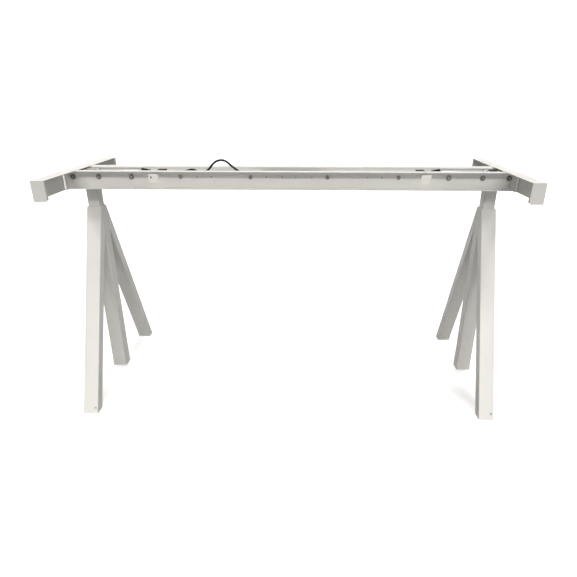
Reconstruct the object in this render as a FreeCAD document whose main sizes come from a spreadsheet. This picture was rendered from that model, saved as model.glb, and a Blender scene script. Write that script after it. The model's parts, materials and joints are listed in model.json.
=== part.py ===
import FreeCAD, Part
import math
import os

import Sketcher

# A sit-stand desk frame: two electric lifting columns, each standing on an A-shaped pair of
# legs, joined by a width-adjustable twin-rail beam that carries two desktop support arms.
# The origin is on the floor, midway between the columns. +X runs along the beam, +Y to the
# rear and +Z up. Lengths are in millimetres. Everything named left has X below zero.

DRIVING_SIZES = [
    ("column_x", 668, "column axis from the middle of the frame"),
    ("outer_wide", 50, "outer column tube along X"),
    ("outer_deep", 50, "outer column tube along Y"),
    ("outer_bottom", 22, "lower end of the outer tube above the floor"),
    ("outer_top", 627, "upper end of the outer tube"),
    ("tube_wall", 2, "wall of the column tubes and legs"),
    ("tube_corner", 3, "outer corner radius of the tubes"),
    ("inner_wide", 40, "inner column tube along X"),
    ("inner_deep", 43, "inner column tube along Y"),
    ("inner_bottom", 58, "lower end of the inner tube when lowered"),
    ("leg_reach", 350, "outer face of a leg at the floor from the column axis"),
    ("leg_cut", 43, "depth of a leg's level cut at the floor"),
    ("foot_sole", 2, "thickness of a foot cap under the leg"),
    ("foot_plug", 18, "height of the foot cap's plug inside the leg"),
    ("fit_gap", 0.1, "clearance of a sliding or running fit"),
    ("free_gap", 0.3, "clearance between pieces that only pass each other"),
    ("glide_height", 40, "height of the plastic sleeve on the inner tube"),
    ("collar_height", 22, "height of the plastic collar in the outer tube's mouth"),
    ("push_radius", 12.5, "outer radius of the push tube that carries the nut"),
    ("push_plate", 4, "thickness of the push tube's foot plate"),
    ("nut_level", 520, "upper end of the push tube, where the nut sits"),
    ("nut_radius", 14.5, "radius of the drive nut's flange"),
    ("nut_flange", 15, "height of the drive nut's flange"),
    ("nut_spigot", 14, "length of the drive nut inside the push tube"),
    ("screw_radius", 7, "outer radius of the lifting screw"),
    ("screw_bottom", 60, "lower end of the lifting screw when lowered"),
    ("journal_radius", 5, "radius of the lifting screw's upper journal"),
    ("beam_top", 749, "upper face of the rails"),
    ("beam_bottom", 693.5, "lower face of the rails"),
    ("web_face", 54, "inner face of a rail's web from the middle plane"),
    ("rail_edge", 84.5, "outer edge of a rail's flanges from the middle plane"),
    ("rail_sheet", 2, "sheet thickness of the rails"),
    ("rail_end", 716, "outer end of the side rails"),
    ("end_plate", 6, "thickness of the plate that closes a side rail's outer end"),
    ("end_plate_edge", 104, "outer edge of the end plate from the middle plane"),
    ("side_rail_start", 242.8, "inner end of the side rails"),
    ("centre_rail_end", 242.4, "ends of the centre rails"),
    ("hole_level", 729, "height of the row of holes in the rail webs"),
    ("plate_level", 697, "underside of the head bracket's floor"),
    ("bracket_sheet", 3, "sheet thickness of the head bracket"),
    ("bracket_start", 500, "inner end of the head bracket"),
    ("bracket_top", 745, "upper edge of the head bracket's walls"),
    ("gear_level", 722, "height of the motor axis and the worm wheel's middle"),
    ("worm_side", 20, "worm axis behind the lifting screw's axis"),
    ("wheel_radius", 15.4, "worm wheel's outer radius"),
    ("wheel_thick", 14, "worm wheel's thickness"),
    ("cavity_gap", 1, "clearance round the turning pieces inside the gearbox"),
    ("cavity_ends", 2, "clearance above and below the worm wheel"),
    ("box_front_wall", 24, "front face of the gearbox from the lifting screw's axis"),
    ("box_rear_wall", 32, "rear face of the gearbox from the lifting screw's axis"),
    ("box_end_wall", 4, "end wall of the gearbox behind the worm"),
    ("worm_radius", 4, "radius of the worm and its shaft"),
    ("box_top", 744, "upper face of the gearbox"),
    ("cap_rim", 3, "width of the rim under the gearbox cap"),
    ("cap_thick", 3, "thickness of the gearbox cap above the gearbox"),
    ("bearing_radius", 13, "outer radius of the lifting screw's bearing"),
    ("bearing_width", 8, "width of the lifting screw's bearing"),
    ("bearing_fit", 0.05, "running clearance between the screw's journal and its bearing"),
    ("motor_radius", 21.5, "radius of the motor can"),
    ("magnet_gap", 2, "clearance between the motor's magnets and its shaft"),
    ("shaft_start", 4, "start of the motor's shaft inside the can"),
    ("shaft_overrun", 20, "end of the worm beyond the lifting screw's axis"),
    ("motor_start", 504, "inner end of the motor can"),
    ("motor_end", 640, "end of the motor can against the gearbox"),
    ("motor_cap_radius", 17, "radius of the motor's end cap"),
    ("cap_length", 14, "length of the motor's end cap"),
    ("boot_reach", 21, "length of the strain-relief boot beyond the end cap"),
    ("boot_skin", 1.5, "plastic above and below the cable in the boot"),
    ("boot_rise", 8, "height of the boot's thick end above the cable"),
    ("boot_wide", 11, "width of the boot"),
    ("boot_root", 8, "length of the boot on the end cap"),
    ("cable_side", 12, "cable axis behind the middle plane at the motor"),
    ("cable_level", 737, "cable axis at the motor"),
    ("arm_inner", 686, "inner edge of an arm"),
    ("arm_outer", 726, "outer face of an arm"),
    ("arm_half", 314, "half the length of an arm"),
    ("arm_top", 751, "upper face of an arm, where the desktop rests"),
    ("arm_bottom", 692.5, "lower edge of an arm"),
    ("arm_sheet", 2, "sheet thickness of an arm"),
    ("arm_lip", 12, "return lip of an arm's end flap"),
    ("arm_chamfer", 4, "cut-off lower corner of an arm's end flap"),
    ("desk_screw_near", 150, "inner desktop screw holes from the middle plane"),
    ("desk_screw_far", 270, "outer desktop screw holes from the middle plane"),
    ("desk_hole", 3.5, "radius of a desktop screw hole"),
    ("desk_screw_x", 706, "desktop screw holes from the middle of the frame"),
    ("arm_screw_x", 701, "screws that join arm and rails, from the middle of the frame"),
    ("arm_screw_side", 70, "screws that join arm and rails, from the middle plane"),
    ("arm_screw_radius", 3, "radius of an arm screw's shank"),
    ("arm_screw_head", 4, "height of an arm screw's head"),
    ("bolt_radius", 4, "radius of a rail bolt's shank"),
    ("bolt_head", 7, "radius of a rail bolt's head"),
    ("bolt_head_high", 5, "height of a rail bolt's head"),
    ("lock_radius", 3, "radius of a width-lock bolt's shank"),
    ("lock_head", 5.5, "radius of a width-lock bolt's head"),
    ("lock_head_high", 3.5, "height of a width-lock bolt's head"),
    ("lock_x", 354, "width-lock bolt in a side rail"),
    ("splice_x", 125, "bolt that holds a splice bar in a centre rail"),
    ("pilot_radius", 2.5, "radius of the empty adjustment holes"),
    ("bar_start", 100, "inner end of a splice bar"),
    ("bar_end", 480, "outer end of a splice bar"),
    ("bar_thick", 3.5, "thickness of a splice bar"),
    ("bar_bottom", 700, "lower edge of a splice bar"),
    ("bar_top", 738, "upper edge of a splice bar"),
    ("width_travel", 100, "how far each side slides out from the centre"),
    ("left_clip_x", 434, "middle of the left white clip on its front rail"),
    ("right_clip_x", 437, "middle of the right white clip on its front rail"),
    ("clip_stem", 5, "half the width of the white clip's stem"),
    ("clip_half", 15.2, "half the width of the white clip"),
    ("clip_top", 741.3, "upper edge of the white clip"),
    ("clip_bottom", 714.1, "lower edge of the white clip"),
    ("clip_skin", 3, "thickness of the white clip's front"),
    ("clip_corner", 4, "cut-off upper corner of the white clip"),
    ("clip_flare", 2.5, "how far the white clip's outer edge slopes each way"),
    ("clip_lean", 4.5, "how far the white clip's inner edge slopes"),
    ("clip_hole", 2.2, "radius of the hole in the left clip"),
    ("clip_hole_side", 6.5, "hole in the left clip from its outer edge"),
    ("clip_hole_drop", 9.5, "hole in the left clip from its upper edge"),
    ("left_saddle_x", 427, "middle of the left cable saddle"),
    ("right_saddle_x", 432, "middle of the right cable saddle"),
    ("saddle_half", 12.5, "half the width of the cable saddle"),
    ("saddle_top", 745.6, "upper face of the cable saddle"),
    ("saddle_strap", 2.8, "thickness of the cable saddle's strap"),
    ("saddle_wall", 2, "thickness of the cable saddle's legs and foot"),
    ("saddle_room", 5, "half the width between the saddle's legs"),
    ("cable_radius", 3.5, "radius of the motor cables"),
    ("control_start", -90, "left end of the control box"),
    ("control_end", 100, "right end of the control box"),
    ("control_bottom", 700, "underside of the control box"),
    ("control_rim", 731, "joint between the control box and its lid"),
    ("control_wall", 2, "wall of the control box"),
    ("lid_thick", 2, "thickness of the control box's lid"),
    ("lid_lip", 3, "depth of the lid's lip inside the control box"),
    ("inlet_front", 18, "front of the mains inlet's body behind the middle plane"),
    ("inlet_back", 50, "back of the mains inlet's body behind the middle plane"),
    ("inlet_deep", 22, "how far the mains inlet's body reaches into the box"),
    ("inlet_low", 1, "underside of the mains inlet's body above the box's underside"),
    ("inlet_high", 27, "top of the mains inlet's body above the box's underside"),
    ("inlet_wall", 4, "wall round the mains inlet's mouth"),
    ("pin_low", 11, "underside of the mains pins above the box's underside"),
    ("pin_high", 15, "top of the mains pins above the box's underside"),
    ("pin_thick", 2, "thickness of a mains pin"),
    ("pin_tip", 6, "tips of the mains pins inside the box's end"),
    ("plug_level", 719, "axis of the motor plugs"),
    ("plug_side", 3, "distance of the motor plugs' axes from the middle plane"),
    ("plug_length", 22, "length of a motor plug outside the control box"),
    ("plug_half_wide", 8, "half the width of a motor plug"),
    ("plug_half_high", 6, "half the height of a motor plug"),
    ("nose_half_wide", 6.5, "half the width of a motor plug's nose"),
    ("nose_half_high", 4.5, "half the height of a motor plug's nose"),
    ("nose_length", 8, "length of a motor plug's nose inside the control box"),
    ("mouth_gap", 0.5, "clearance round a motor plug's nose"),
]

# Places along a side rail of its three M8 bolts, counted from the middle of the frame.
RAIL_BOLTS = (515, 623, 707)
# Empty adjustment holes, a pitch of about 50 mm apart.
SIDE_PILOTS = (253, 300)
CENTRE_PILOTS = (22, 74)
# Mains pins behind the middle plane.
MAINS_PINS = (26, 33, 40)
# How much thicker a raked leg's sloping wall is when it is measured level.
RAKED_WALL = 1.13
# How far a tool or a joined piece runs past the face that it cuts or joins.
OVERRUN = 1
# Height of a nut over the radius of its bolt, and its corner radius over the bolt head's.
NUT_HEIGHT = 1.6
NUT_CORNER = 1.05
# Cut-off edge of the lifting screw's foot.
SCREW_CHAMFER = 1

# Centre lines of the motor cables, from the strain-relief boot to the plug's face.
LEFT_CABLE = [
    (-469, 12, 737), (-439, 12.5, 737.5), (-402, 11.5, 736), (-366, 9, 734), (-330, 7, 746),
    (-302, 4, 732.5), (-275, 3, 737.5), (-252, 1, 773), (-216, 0, 777.5), (-187, -1.5, 752),
    (-163, -3, 737), (-138, -3, 722.5), (-112.8, -3, 719),
]
RIGHT_CABLE = [
    (469, 12, 737), (439, 12.5, 737.5), (402, 11, 735), (362, 4, 729), (318, -7, 722),
    (272, -10, 716), (232, -4, 713), (190, 2, 715), (154, 4, 718.5), (122.3, 3, 719),
]

# Share of a cable's straight run that an arc may take at each end of it.
ARC_SHARE = 0.45
# How far a cable's volume may be from its cross-section times its length.
VOLUME_SLACK = 0.01

doc = FreeCAD.newDocument("desk_frame")
sheet = doc.addObject("Spreadsheet::Sheet", "Sizes")
NODES = []


class Size:
    """A length: its formula in the sheet's words, and its value now."""

    def __init__(self, text, value):
        self.text = text
        self.value = value

    def __add__(self, other):
        return joined(self, "+", other, self.value + plain(other))

    def __radd__(self, other):
        return joined(other, "+", self, plain(other) + self.value)

    def __sub__(self, other):
        return joined(self, "-", other, self.value - plain(other))

    def __rsub__(self, other):
        return joined(other, "-", self, plain(other) - self.value)

    def __mul__(self, other):
        return joined(self, "*", other, self.value * plain(other))

    def __rmul__(self, other):
        return joined(other, "*", self, plain(other) * self.value)

    def __truediv__(self, other):
        return joined(self, "/", other, self.value / plain(other))

    def __neg__(self):
        return Size("(-1 * %s)" % self.text, -self.value)


def plain(length):
    """The value of a Size, or a number as it is."""
    return length.value if isinstance(length, Size) else float(length)


def formula(length):
    """The formula of a Size, or a number written out."""
    return length.text if isinstance(length, Size) else "(%r)" % float(length)


def joined(first, sign, second, value):
    return Size("(%s %s %s)" % (formula(first), sign, formula(second)), value)


def fill_sheet():
    """Writes the driving sizes into the sheet and returns them by name."""
    sizes = {}
    for number, (alias, value, meaning) in enumerate(DRIVING_SIZES, start=1):
        sheet.set("A%d" % number, meaning)
        sheet.set("B%d" % number, str(value))
        sheet.setAlias("B%d" % number, alias)
        sizes[alias] = Size("Sizes.%s" % alias, float(value))
    doc.recompute()
    return sizes


size = fill_sheet()


def hold(thing, field, length):
    """Binds one field of an object to a formula."""
    thing.setExpression(field, formula(length))


def keep(name, thing):
    """Names a finished sub-part, which makes it a node."""
    thing.Label = name
    NODES.append(thing)
    return thing


def place(thing, x=0, y=0, z=0):
    """Puts an object at a place worked out from the sheet."""
    thing.Placement.Base = FreeCAD.Vector(plain(x), plain(y), plain(z))
    hold(thing, "Placement.Base.x", x)
    hold(thing, "Placement.Base.y", y)
    hold(thing, "Placement.Base.z", z)
    return thing


# --- sketches and part design features ---------------------------------------------------

def new_body(word):
    return doc.addObject("PartDesign::Body", word)


def sketch_on(body, role, offset=0):
    """A sketch on one of the body's own planes, moved along the plane's normal."""
    sketch = body.newObject("Sketcher::SketchObject", "Sketch")
    plane = [feature for feature in body.Origin.OriginFeatures if feature.Role == role][0]
    sketch.AttachmentSupport = [(plane, "")]
    sketch.MapMode = "FlatFace"
    sketch.AttachmentOffset = FreeCAD.Placement(FreeCAD.Vector(0, 0, plain(offset)), FreeCAD.Rotation())
    hold(sketch, "AttachmentOffset.Base.z", offset)
    return sketch


def fix_point(sketch, curve, point, across, up):
    """Holds one point of a curve at its distances from the sketch's axes."""
    for kind, length in (("DistanceX", across), ("DistanceY", up)):
        number = sketch.addConstraint(Sketcher.Constraint(kind, -1, 1, curve, point, plain(length)))
        sketch.setExpression("Constraints[%d]" % number, formula(length))


def outline(sketch, corners):
    """A closed polygon through the given corners."""
    first = sketch.GeometryCount
    count = len(corners)
    points = [FreeCAD.Vector(plain(across), plain(up), 0) for across, up in corners]
    for number in range(count):
        sketch.addGeometry(Part.LineSegment(points[number], points[(number + 1) % count]), False)
    for number in range(count):
        following = first + (number + 1) % count
        sketch.addConstraint(Sketcher.Constraint("Coincident", first + number, 2, following, 1))
    for number, (across, up) in enumerate(corners):
        fix_point(sketch, first + number, 1, across, up)


def oblong(sketch, low, high):
    """A rectangle between two opposite corners."""
    outline(sketch, [low, (high[0], low[1]), high, (low[0], high[1])])


def ring(sketch, across, up, radius):
    """A circle of a given radius."""
    centre = FreeCAD.Vector(plain(across), plain(up), 0)
    curve = sketch.addGeometry(Part.Circle(centre, FreeCAD.Vector(0, 0, 1), plain(radius)), False)
    fix_point(sketch, curve, 3, across, up)
    number = sketch.addConstraint(Sketcher.Constraint("Radius", curve, plain(radius)))
    sketch.setExpression("Constraints[%d]" % number, formula(radius))


def pad(body, sketch, length, both_ways=False, backwards=False):
    """Adds the sketch's outline, thickened, to the body."""
    feature = body.newObject("PartDesign::Pad", "Pad")
    feature.Profile = sketch
    feature.SideType = "Symmetric" if both_ways else "One side"
    feature.Reversed = backwards
    feature.Length = plain(length)
    hold(feature, "Length", length)
    doc.recompute()
    return feature


def pocket(body, sketch, length, both_ways=False, backwards=False):
    """Cuts the sketch's outline out of the body, and makes sure that it cut something."""
    before = body.Shape.Volume
    feature = body.newObject("PartDesign::Pocket", "Pocket")
    feature.Profile = sketch
    feature.SideType = "Symmetric" if both_ways else "One side"
    feature.Reversed = backwards
    feature.Length = plain(length)
    hold(feature, "Length", length)
    doc.recompute()
    if not body.Shape.Volume < before:
        raise RuntimeError("a pocket in %s cuts nothing" % body.Name)
    return feature


def turn(body, sketch, axis_role="Z_Axis"):
    """Turns the sketch's outline once round one of the body's axes."""
    feature = body.newObject("PartDesign::Revolution", "Revolution")
    feature.Profile = sketch
    axis = [item for item in body.Origin.OriginFeatures if item.Role == axis_role][0]
    feature.ReferenceAxis = (axis, [""])
    feature.Angle = 360
    doc.recompute()
    return feature


def round_edges(body, radius, wanted):
    """Rounds the edges of the body's last feature that a test picks out."""
    base = body.Tip
    names = []
    for number, edge in enumerate(base.Shape.Edges, start=1):
        if wanted(edge):
            names.append("Edge%d" % number)
    feature = body.newObject("PartDesign::Fillet", "Fillet")
    feature.Base = (base, names)
    feature.Radius = plain(radius)
    hold(feature, "Radius", radius)
    doc.recompute()
    return feature


def runs_along(edge, direction):
    """Whether an edge is straight and lies along a direction."""
    if len(edge.Vertexes) != 2 or not isinstance(edge.Curve, Part.Line):
        return False
    return edge.Curve.Direction.cross(direction).Length < 1e-6


ALONG_X = FreeCAD.Vector(1, 0, 0)
ALONG_Y = FreeCAD.Vector(0, 1, 0)
ALONG_Z = FreeCAD.Vector(0, 0, 1)


# --- part primitives and booleans ----------------------------------------------------------

def block(low, high):
    """A box between two opposite corners."""
    box = doc.addObject("Part::Box", "Block")
    for field, start, end in zip(("Length", "Width", "Height"), low, high):
        setattr(box, field, plain(end) - plain(start))
        hold(box, field, end - start)
    return place(box, *low)


def rod(radius, start, length, axis):
    """A cylinder from a start point along +X, +Y or +Z."""
    cylinder = doc.addObject("Part::Cylinder", "Rod")
    cylinder.Radius = plain(radius)
    cylinder.Height = plain(length)
    hold(cylinder, "Radius", radius)
    hold(cylinder, "Height", length)
    cylinder.Placement.Rotation = FreeCAD.Rotation(ALONG_Z, axis)
    return place(cylinder, *start)


def fused(*pieces):
    union = doc.addObject("Part::MultiFuse", "Union")
    union.Shapes = list(pieces)
    return union


def cut(base, *tools):
    """The base less the tools."""
    difference = doc.addObject("Part::Cut", "Difference")
    difference.Base = base
    difference.Tool = tools[0] if len(tools) == 1 else fused(*tools)
    doc.recompute()
    if not difference.Shape.Volume < base.Shape.Volume:
        raise RuntimeError("a cut in %s removes nothing" % base.Name)
    return difference


def group(*pieces):
    """Several separate solids under one name."""
    compound = doc.addObject("Part::Compound", "Group")
    compound.Links = list(pieces)
    return compound


def low_x(side, near, far):
    """The lower X of a stretch that lies from near to far on one side of the middle."""
    return near if side > 0 else -far


# --- the base: outer tube, legs, feet and the fixed half of the screw drive ------------------

def hollow_tube(x, wide, deep, bottom, top):
    """A rectangular tube with rounded corners, standing upright."""
    body = new_body("Tube")
    outside = sketch_on(body, "XY_Plane")
    oblong(outside, (-(wide / 2), -(deep / 2)), (wide / 2, deep / 2))
    pad(body, outside, top - bottom)
    round_edges(body, size["tube_corner"], lambda edge: runs_along(edge, ALONG_Z))
    inside = sketch_on(body, "XY_Plane")
    half_wide = wide / 2 - size["tube_wall"]
    half_deep = deep / 2 - size["tube_wall"]
    oblong(inside, (-half_wide, -half_deep), (half_wide, half_deep))
    pocket(body, inside, top - bottom, backwards=True)
    return place(body, x, 0, bottom)


def leg_slope():
    """How far a leg moves out for each millimetre down."""
    return (size["leg_reach"] - size["outer_deep"] / 2) / size["outer_top"]


def leg_profile(way, inset, low):
    """The outline of a leg, in Y and Z, set in from its faces and cut level at a height."""
    slope = leg_slope()
    face = size["outer_deep"] / 2
    reach = size["leg_reach"] - inset
    back = size["leg_reach"] - size["leg_cut"] + inset
    return [
        (way * (reach - slope * low), low),
        (way * (back - slope * low), low),
        (way * face, (back - face) / slope),
        (way * face, (reach - face) / slope),
    ]


def leg(x, way):
    """A raked leg, mitred against the outer tube's face; way is -1 in front and 1 behind."""
    body = new_body("Leg")
    outside = sketch_on(body, "YZ_Plane")
    outline(outside, leg_profile(way, 0, size["foot_sole"]))
    pad(body, outside, size["outer_wide"], both_ways=True)
    rake = FreeCAD.Vector(0, way * plain(leg_slope()), -1).normalize()
    round_edges(body, size["tube_corner"], lambda edge: runs_along(edge, rake))
    inside = sketch_on(body, "YZ_Plane")
    outline(inside, leg_profile(way, size["tube_wall"] * RAKED_WALL, size["foot_sole"]))
    pocket(body, inside, size["outer_wide"] - 2 * size["tube_wall"], both_ways=True)
    return place(body, x)


def foot_cap(x, way):
    """A plastic sole under a leg with a plug that stands in the leg's bore."""
    slope = leg_slope()
    sole = size["foot_sole"]
    top = sole + size["foot_plug"]
    inset = size["tube_wall"] * RAKED_WALL + size["fit_gap"]
    reach = size["leg_reach"] - slope * sole
    back = reach - size["leg_cut"]
    plug_reach = reach - inset
    plug_back = back + inset
    rise = slope * size["foot_plug"]
    body = new_body("FootCap")
    section = sketch_on(body, "YZ_Plane")
    outline(section, [(way * reach, 0), (way * back, 0), (way * back, sole), (way * reach, sole)])
    pad(body, section, size["outer_wide"], both_ways=True)
    plug = sketch_on(body, "YZ_Plane")
    outline(plug, [
        (way * plug_reach, sole), (way * plug_back, sole),
        (way * (plug_back - rise), top), (way * (plug_reach - rise), top),
    ])
    pad(body, plug, size["outer_wide"] - 2 * size["tube_wall"] - 2 * size["fit_gap"], both_ways=True)
    return place(body, x)


def push_tube(x):
    """The tube that holds the drive nut up, standing on a plate in the outer tube's foot."""
    half = size["outer_wide"] / 2 - size["tube_wall"] - size["fit_gap"]
    bottom = size["outer_bottom"]
    top_of_plate = bottom + size["push_plate"]
    plate = block((x - half, -half, bottom), (x + half, half, top_of_plate))
    shaft = rod(size["push_radius"], (x, 0, top_of_plate), size["nut_level"] - top_of_plate, ALONG_Z)
    bore = size["push_radius"] - size["tube_wall"]
    hollow = rod(bore, (x, 0, top_of_plate), size["nut_level"] - top_of_plate, ALONG_Z)
    return cut(fused(plate, shaft), hollow)


def drive_nut(x):
    """A flanged nut that stands in the push tube's mouth, clear of the lifting screw."""
    bore = size["screw_radius"] + size["free_gap"]
    spigot = size["push_radius"] - size["tube_wall"]
    body = new_body("Nut")
    section = sketch_on(body, "XZ_Plane")
    outline(section, [
        (bore, -size["nut_spigot"]), (spigot, -size["nut_spigot"]), (spigot, 0),
        (size["nut_radius"], 0), (size["nut_radius"], size["nut_flange"]), (bore, size["nut_flange"]),
    ])
    turn(body, section)
    return place(body, x, 0, size["nut_level"])


def square_ring(x, outer_x, outer_y, inner_x, inner_y, bottom, height):
    """An upright ring between two rectangles, given by their half sizes."""
    body = new_body("Ring")
    section = sketch_on(body, "XY_Plane")
    oblong(section, (-outer_x, -outer_y), (outer_x, outer_y))
    oblong(section, (-inner_x, -inner_y), (inner_x, inner_y))
    pad(body, section, height)
    return place(body, x, 0, bottom)


def guide_collar(x):
    """The plastic collar in the outer tube's mouth that the inner tube runs in."""
    outer_x = size["outer_wide"] / 2 - size["tube_wall"]
    outer_y = size["outer_deep"] / 2 - size["tube_wall"]
    inner_x = size["inner_wide"] / 2 + size["fit_gap"]
    inner_y = size["inner_deep"] / 2 + size["fit_gap"]
    bottom = size["outer_top"] - size["collar_height"]
    return square_ring(x, outer_x, outer_y, inner_x, inner_y, bottom, size["collar_height"])


def tube_glide(x):
    """The plastic sleeve on the inner tube's foot that runs in the outer tube."""
    outer_x = size["outer_wide"] / 2 - size["tube_wall"] - size["fit_gap"]
    outer_y = size["outer_deep"] / 2 - size["tube_wall"] - size["fit_gap"]
    inner_x = size["inner_wide"] / 2
    inner_y = size["inner_deep"] / 2
    return square_ring(x, outer_x, outer_y, inner_x, inner_y, size["inner_bottom"], size["glide_height"])


def make_base(name, side):
    """Everything of one column that stays on the floor."""
    x = side * size["column_x"]
    tube = hollow_tube(x, size["outer_wide"], size["outer_deep"], size["outer_bottom"], size["outer_top"])
    keep(name + "_outer_tube", tube)
    keep(name + "_front_leg", leg(x, -1))
    keep(name + "_rear_leg", leg(x, 1))
    keep(name + "_foot_caps", group(foot_cap(x, -1), foot_cap(x, 1)))
    keep(name + "_push_tube", push_tube(x))
    keep(name + "_drive_nut", drive_nut(x))
    keep(name + "_guide_collar", guide_collar(x))


# --- the head: inner tube, bracket, gearbox and motor ----------------------------------------

def head_bracket(side):
    """A long steel channel between the rails that carries the gearbox and the motor."""
    body = new_body("Bracket")
    section = sketch_on(body, "YZ_Plane")
    face = size["web_face"]
    inner = face - size["bracket_sheet"]
    floor = size["plate_level"] + size["bracket_sheet"]
    outline(section, [
        (-face, size["plate_level"]), (face, size["plate_level"]), (face, size["bracket_top"]),
        (inner, size["bracket_top"]), (inner, floor), (-inner, floor),
        (-inner, size["bracket_top"]), (-face, size["bracket_top"]),
    ])
    length = size["rail_end"] - size["bracket_start"]
    pad(body, section, length, backwards=side < 0)
    holes = sketch_on(body, "XZ_Plane")
    hole = size["bolt_radius"] + size["fit_gap"]
    for place_x in RAIL_BOLTS:
        ring(holes, side * (place_x - size["bracket_start"]), size["hole_level"], hole)
    pocket(body, holes, 4 * face, both_ways=True)
    throat = sketch_on(body, "XY_Plane", size["plate_level"])
    throat_radius = size["screw_radius"] + size["bracket_sheet"]
    ring(throat, side * (size["column_x"] - size["bracket_start"]), 0, throat_radius)
    pocket(body, throat, size["bracket_sheet"], backwards=True)
    return place(body, side * size["bracket_start"])


def gearbox_housing(x, side):
    """The cast case round the worm and its wheel, open above the bearing."""
    half = size["column_x"] - size["motor_end"]
    floor = size["plate_level"] + size["bracket_sheet"]
    top = size["box_top"]
    case = block((x - half, -size["box_front_wall"], floor), (x + half, size["box_rear_wall"], top))
    gap = size["cavity_gap"]
    wheel_half = size["wheel_thick"] / 2 + size["cavity_ends"]
    level = size["gear_level"]
    throat = rod(size["screw_radius"] + gap, (x, 0, floor), level - floor, ALONG_Z)
    cavity = rod(size["wheel_radius"] + gap, (x, 0, level - wheel_half), 2 * wheel_half, ALONG_Z)
    seat = rod(size["bearing_radius"], (x, 0, level), top - level, ALONG_Z)
    worm_length = 2 * half - size["box_end_wall"]
    start = x - half if side > 0 else x - half + size["box_end_wall"]
    tunnel = rod(size["worm_radius"] + gap, (start, size["worm_side"], level), worm_length, ALONG_X)
    return cut(case, throat, cavity, seat, tunnel)


def bearing_bottom():
    """The lower face of the bearing, just above the wheel's cavity."""
    return size["gear_level"] + size["wheel_thick"] / 2 + size["cavity_ends"] + size["free_gap"]


def screw_bearing(x):
    """The ball bearing that carries the lifting screw, as one ring."""
    low = bearing_bottom()
    bore = size["journal_radius"] + size["bearing_fit"]
    outer = rod(size["bearing_radius"], (x, 0, low), size["bearing_width"], ALONG_Z)
    inner = rod(bore, (x, 0, low), size["bearing_width"], ALONG_Z)
    return cut(outer, inner)


def gearbox_cap(x):
    """The black cap over the bearing: a disc with a rim that stands in the bearing's seat."""
    low = size["box_top"]
    top = low + size["cap_thick"]
    rim_bottom = bearing_bottom() + size["bearing_width"]
    body = new_body("Cap")
    section = sketch_on(body, "XZ_Plane")
    seat = size["bearing_radius"]
    rim = seat - size["cap_rim"]
    outline(section, [
        (0, low), (rim, low), (rim, rim_bottom), (seat, rim_bottom), (seat, low),
        (seat + size["cavity_gap"], low), (seat, top), (0, top),
    ])
    turn(body, section)
    return place(body, x)


def motor_can(side):
    """The motor's steel can with its magnets, as one thick ring round the shaft."""
    length = size["motor_end"] - size["motor_start"]
    start = (low_x(side, size["motor_start"], size["motor_end"]), size["worm_side"], size["gear_level"])
    can = rod(size["motor_radius"], start, length, ALONG_X)
    bore = rod(size["worm_radius"] + size["magnet_gap"], start, length, ALONG_X)
    return cut(can, bore)


def motor_cap(side):
    """The motor's black end cap with a wedge-shaped boot that the cable leaves by."""
    end = size["motor_start"]
    start = end - size["cap_length"]
    lower_x = low_x(side, start, end)
    disc_start = (lower_x, size["worm_side"], size["gear_level"])
    disc = rod(size["motor_cap_radius"], disc_start, size["cap_length"], ALONG_X)
    body = new_body("Boot")
    section = sketch_on(body, "XZ_Plane", -size["cable_side"])
    boot_end = start - size["boot_reach"]
    root = start + size["boot_root"]
    low = size["cable_level"] - size["cable_radius"] - size["boot_skin"]
    thin = size["cable_level"] + size["cable_radius"] + size["boot_skin"]
    thick = size["cable_level"] + size["cable_radius"] + size["boot_rise"]
    outline(section, [
        (side * root, low), (side * boot_end, low), (side * boot_end, thin), (side * root, thick),
    ])
    pad(body, section, size["boot_wide"], both_ways=True)
    return fused(disc, body)


def worm_shaft(side):
    """The motor's shaft, with the worm on its far end."""
    start = size["motor_start"] + size["shaft_start"]
    end = size["column_x"] + size["shaft_overrun"]
    lower_x = low_x(side, start, end)
    shaft_start = (lower_x, size["worm_side"], size["gear_level"])
    return rod(size["worm_radius"], shaft_start, end - start, ALONG_X)


def lifting_screw(x):
    """The lifting screw: a threaded length below and a plain journal above."""
    shoulder = size["gear_level"] - size["wheel_thick"] / 2
    bottom = size["screw_bottom"]
    top = bearing_bottom() + size["bearing_width"] + size["cavity_gap"]
    body = new_body("Screw")
    section = sketch_on(body, "XZ_Plane")
    outline(section, [
        (0, bottom), (size["screw_radius"] - SCREW_CHAMFER, bottom),
        (size["screw_radius"], bottom + SCREW_CHAMFER),
        (size["screw_radius"], shoulder), (size["journal_radius"], shoulder),
        (size["journal_radius"], top), (0, top),
    ])
    turn(body, section)
    return place(body, x)


def worm_wheel(x):
    """The worm wheel, pressed on the screw's journal."""
    bottom = size["gear_level"] - size["wheel_thick"] / 2
    disc = rod(size["wheel_radius"], (x, 0, bottom), size["wheel_thick"], ALONG_Z)
    bore = rod(size["journal_radius"], (x, 0, bottom), size["wheel_thick"], ALONG_Z)
    return cut(disc, bore)


def make_drive(name, side):
    """The turning pieces of one column."""
    x = side * size["column_x"]
    keep(name + "_lifting_screw", lifting_screw(x))
    keep(name + "_worm_wheel", worm_wheel(x))
    keep(name + "_worm_shaft", worm_shaft(side))


# --- the beam: rails, splice bars, arms and fasteners ----------------------------------------

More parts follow.
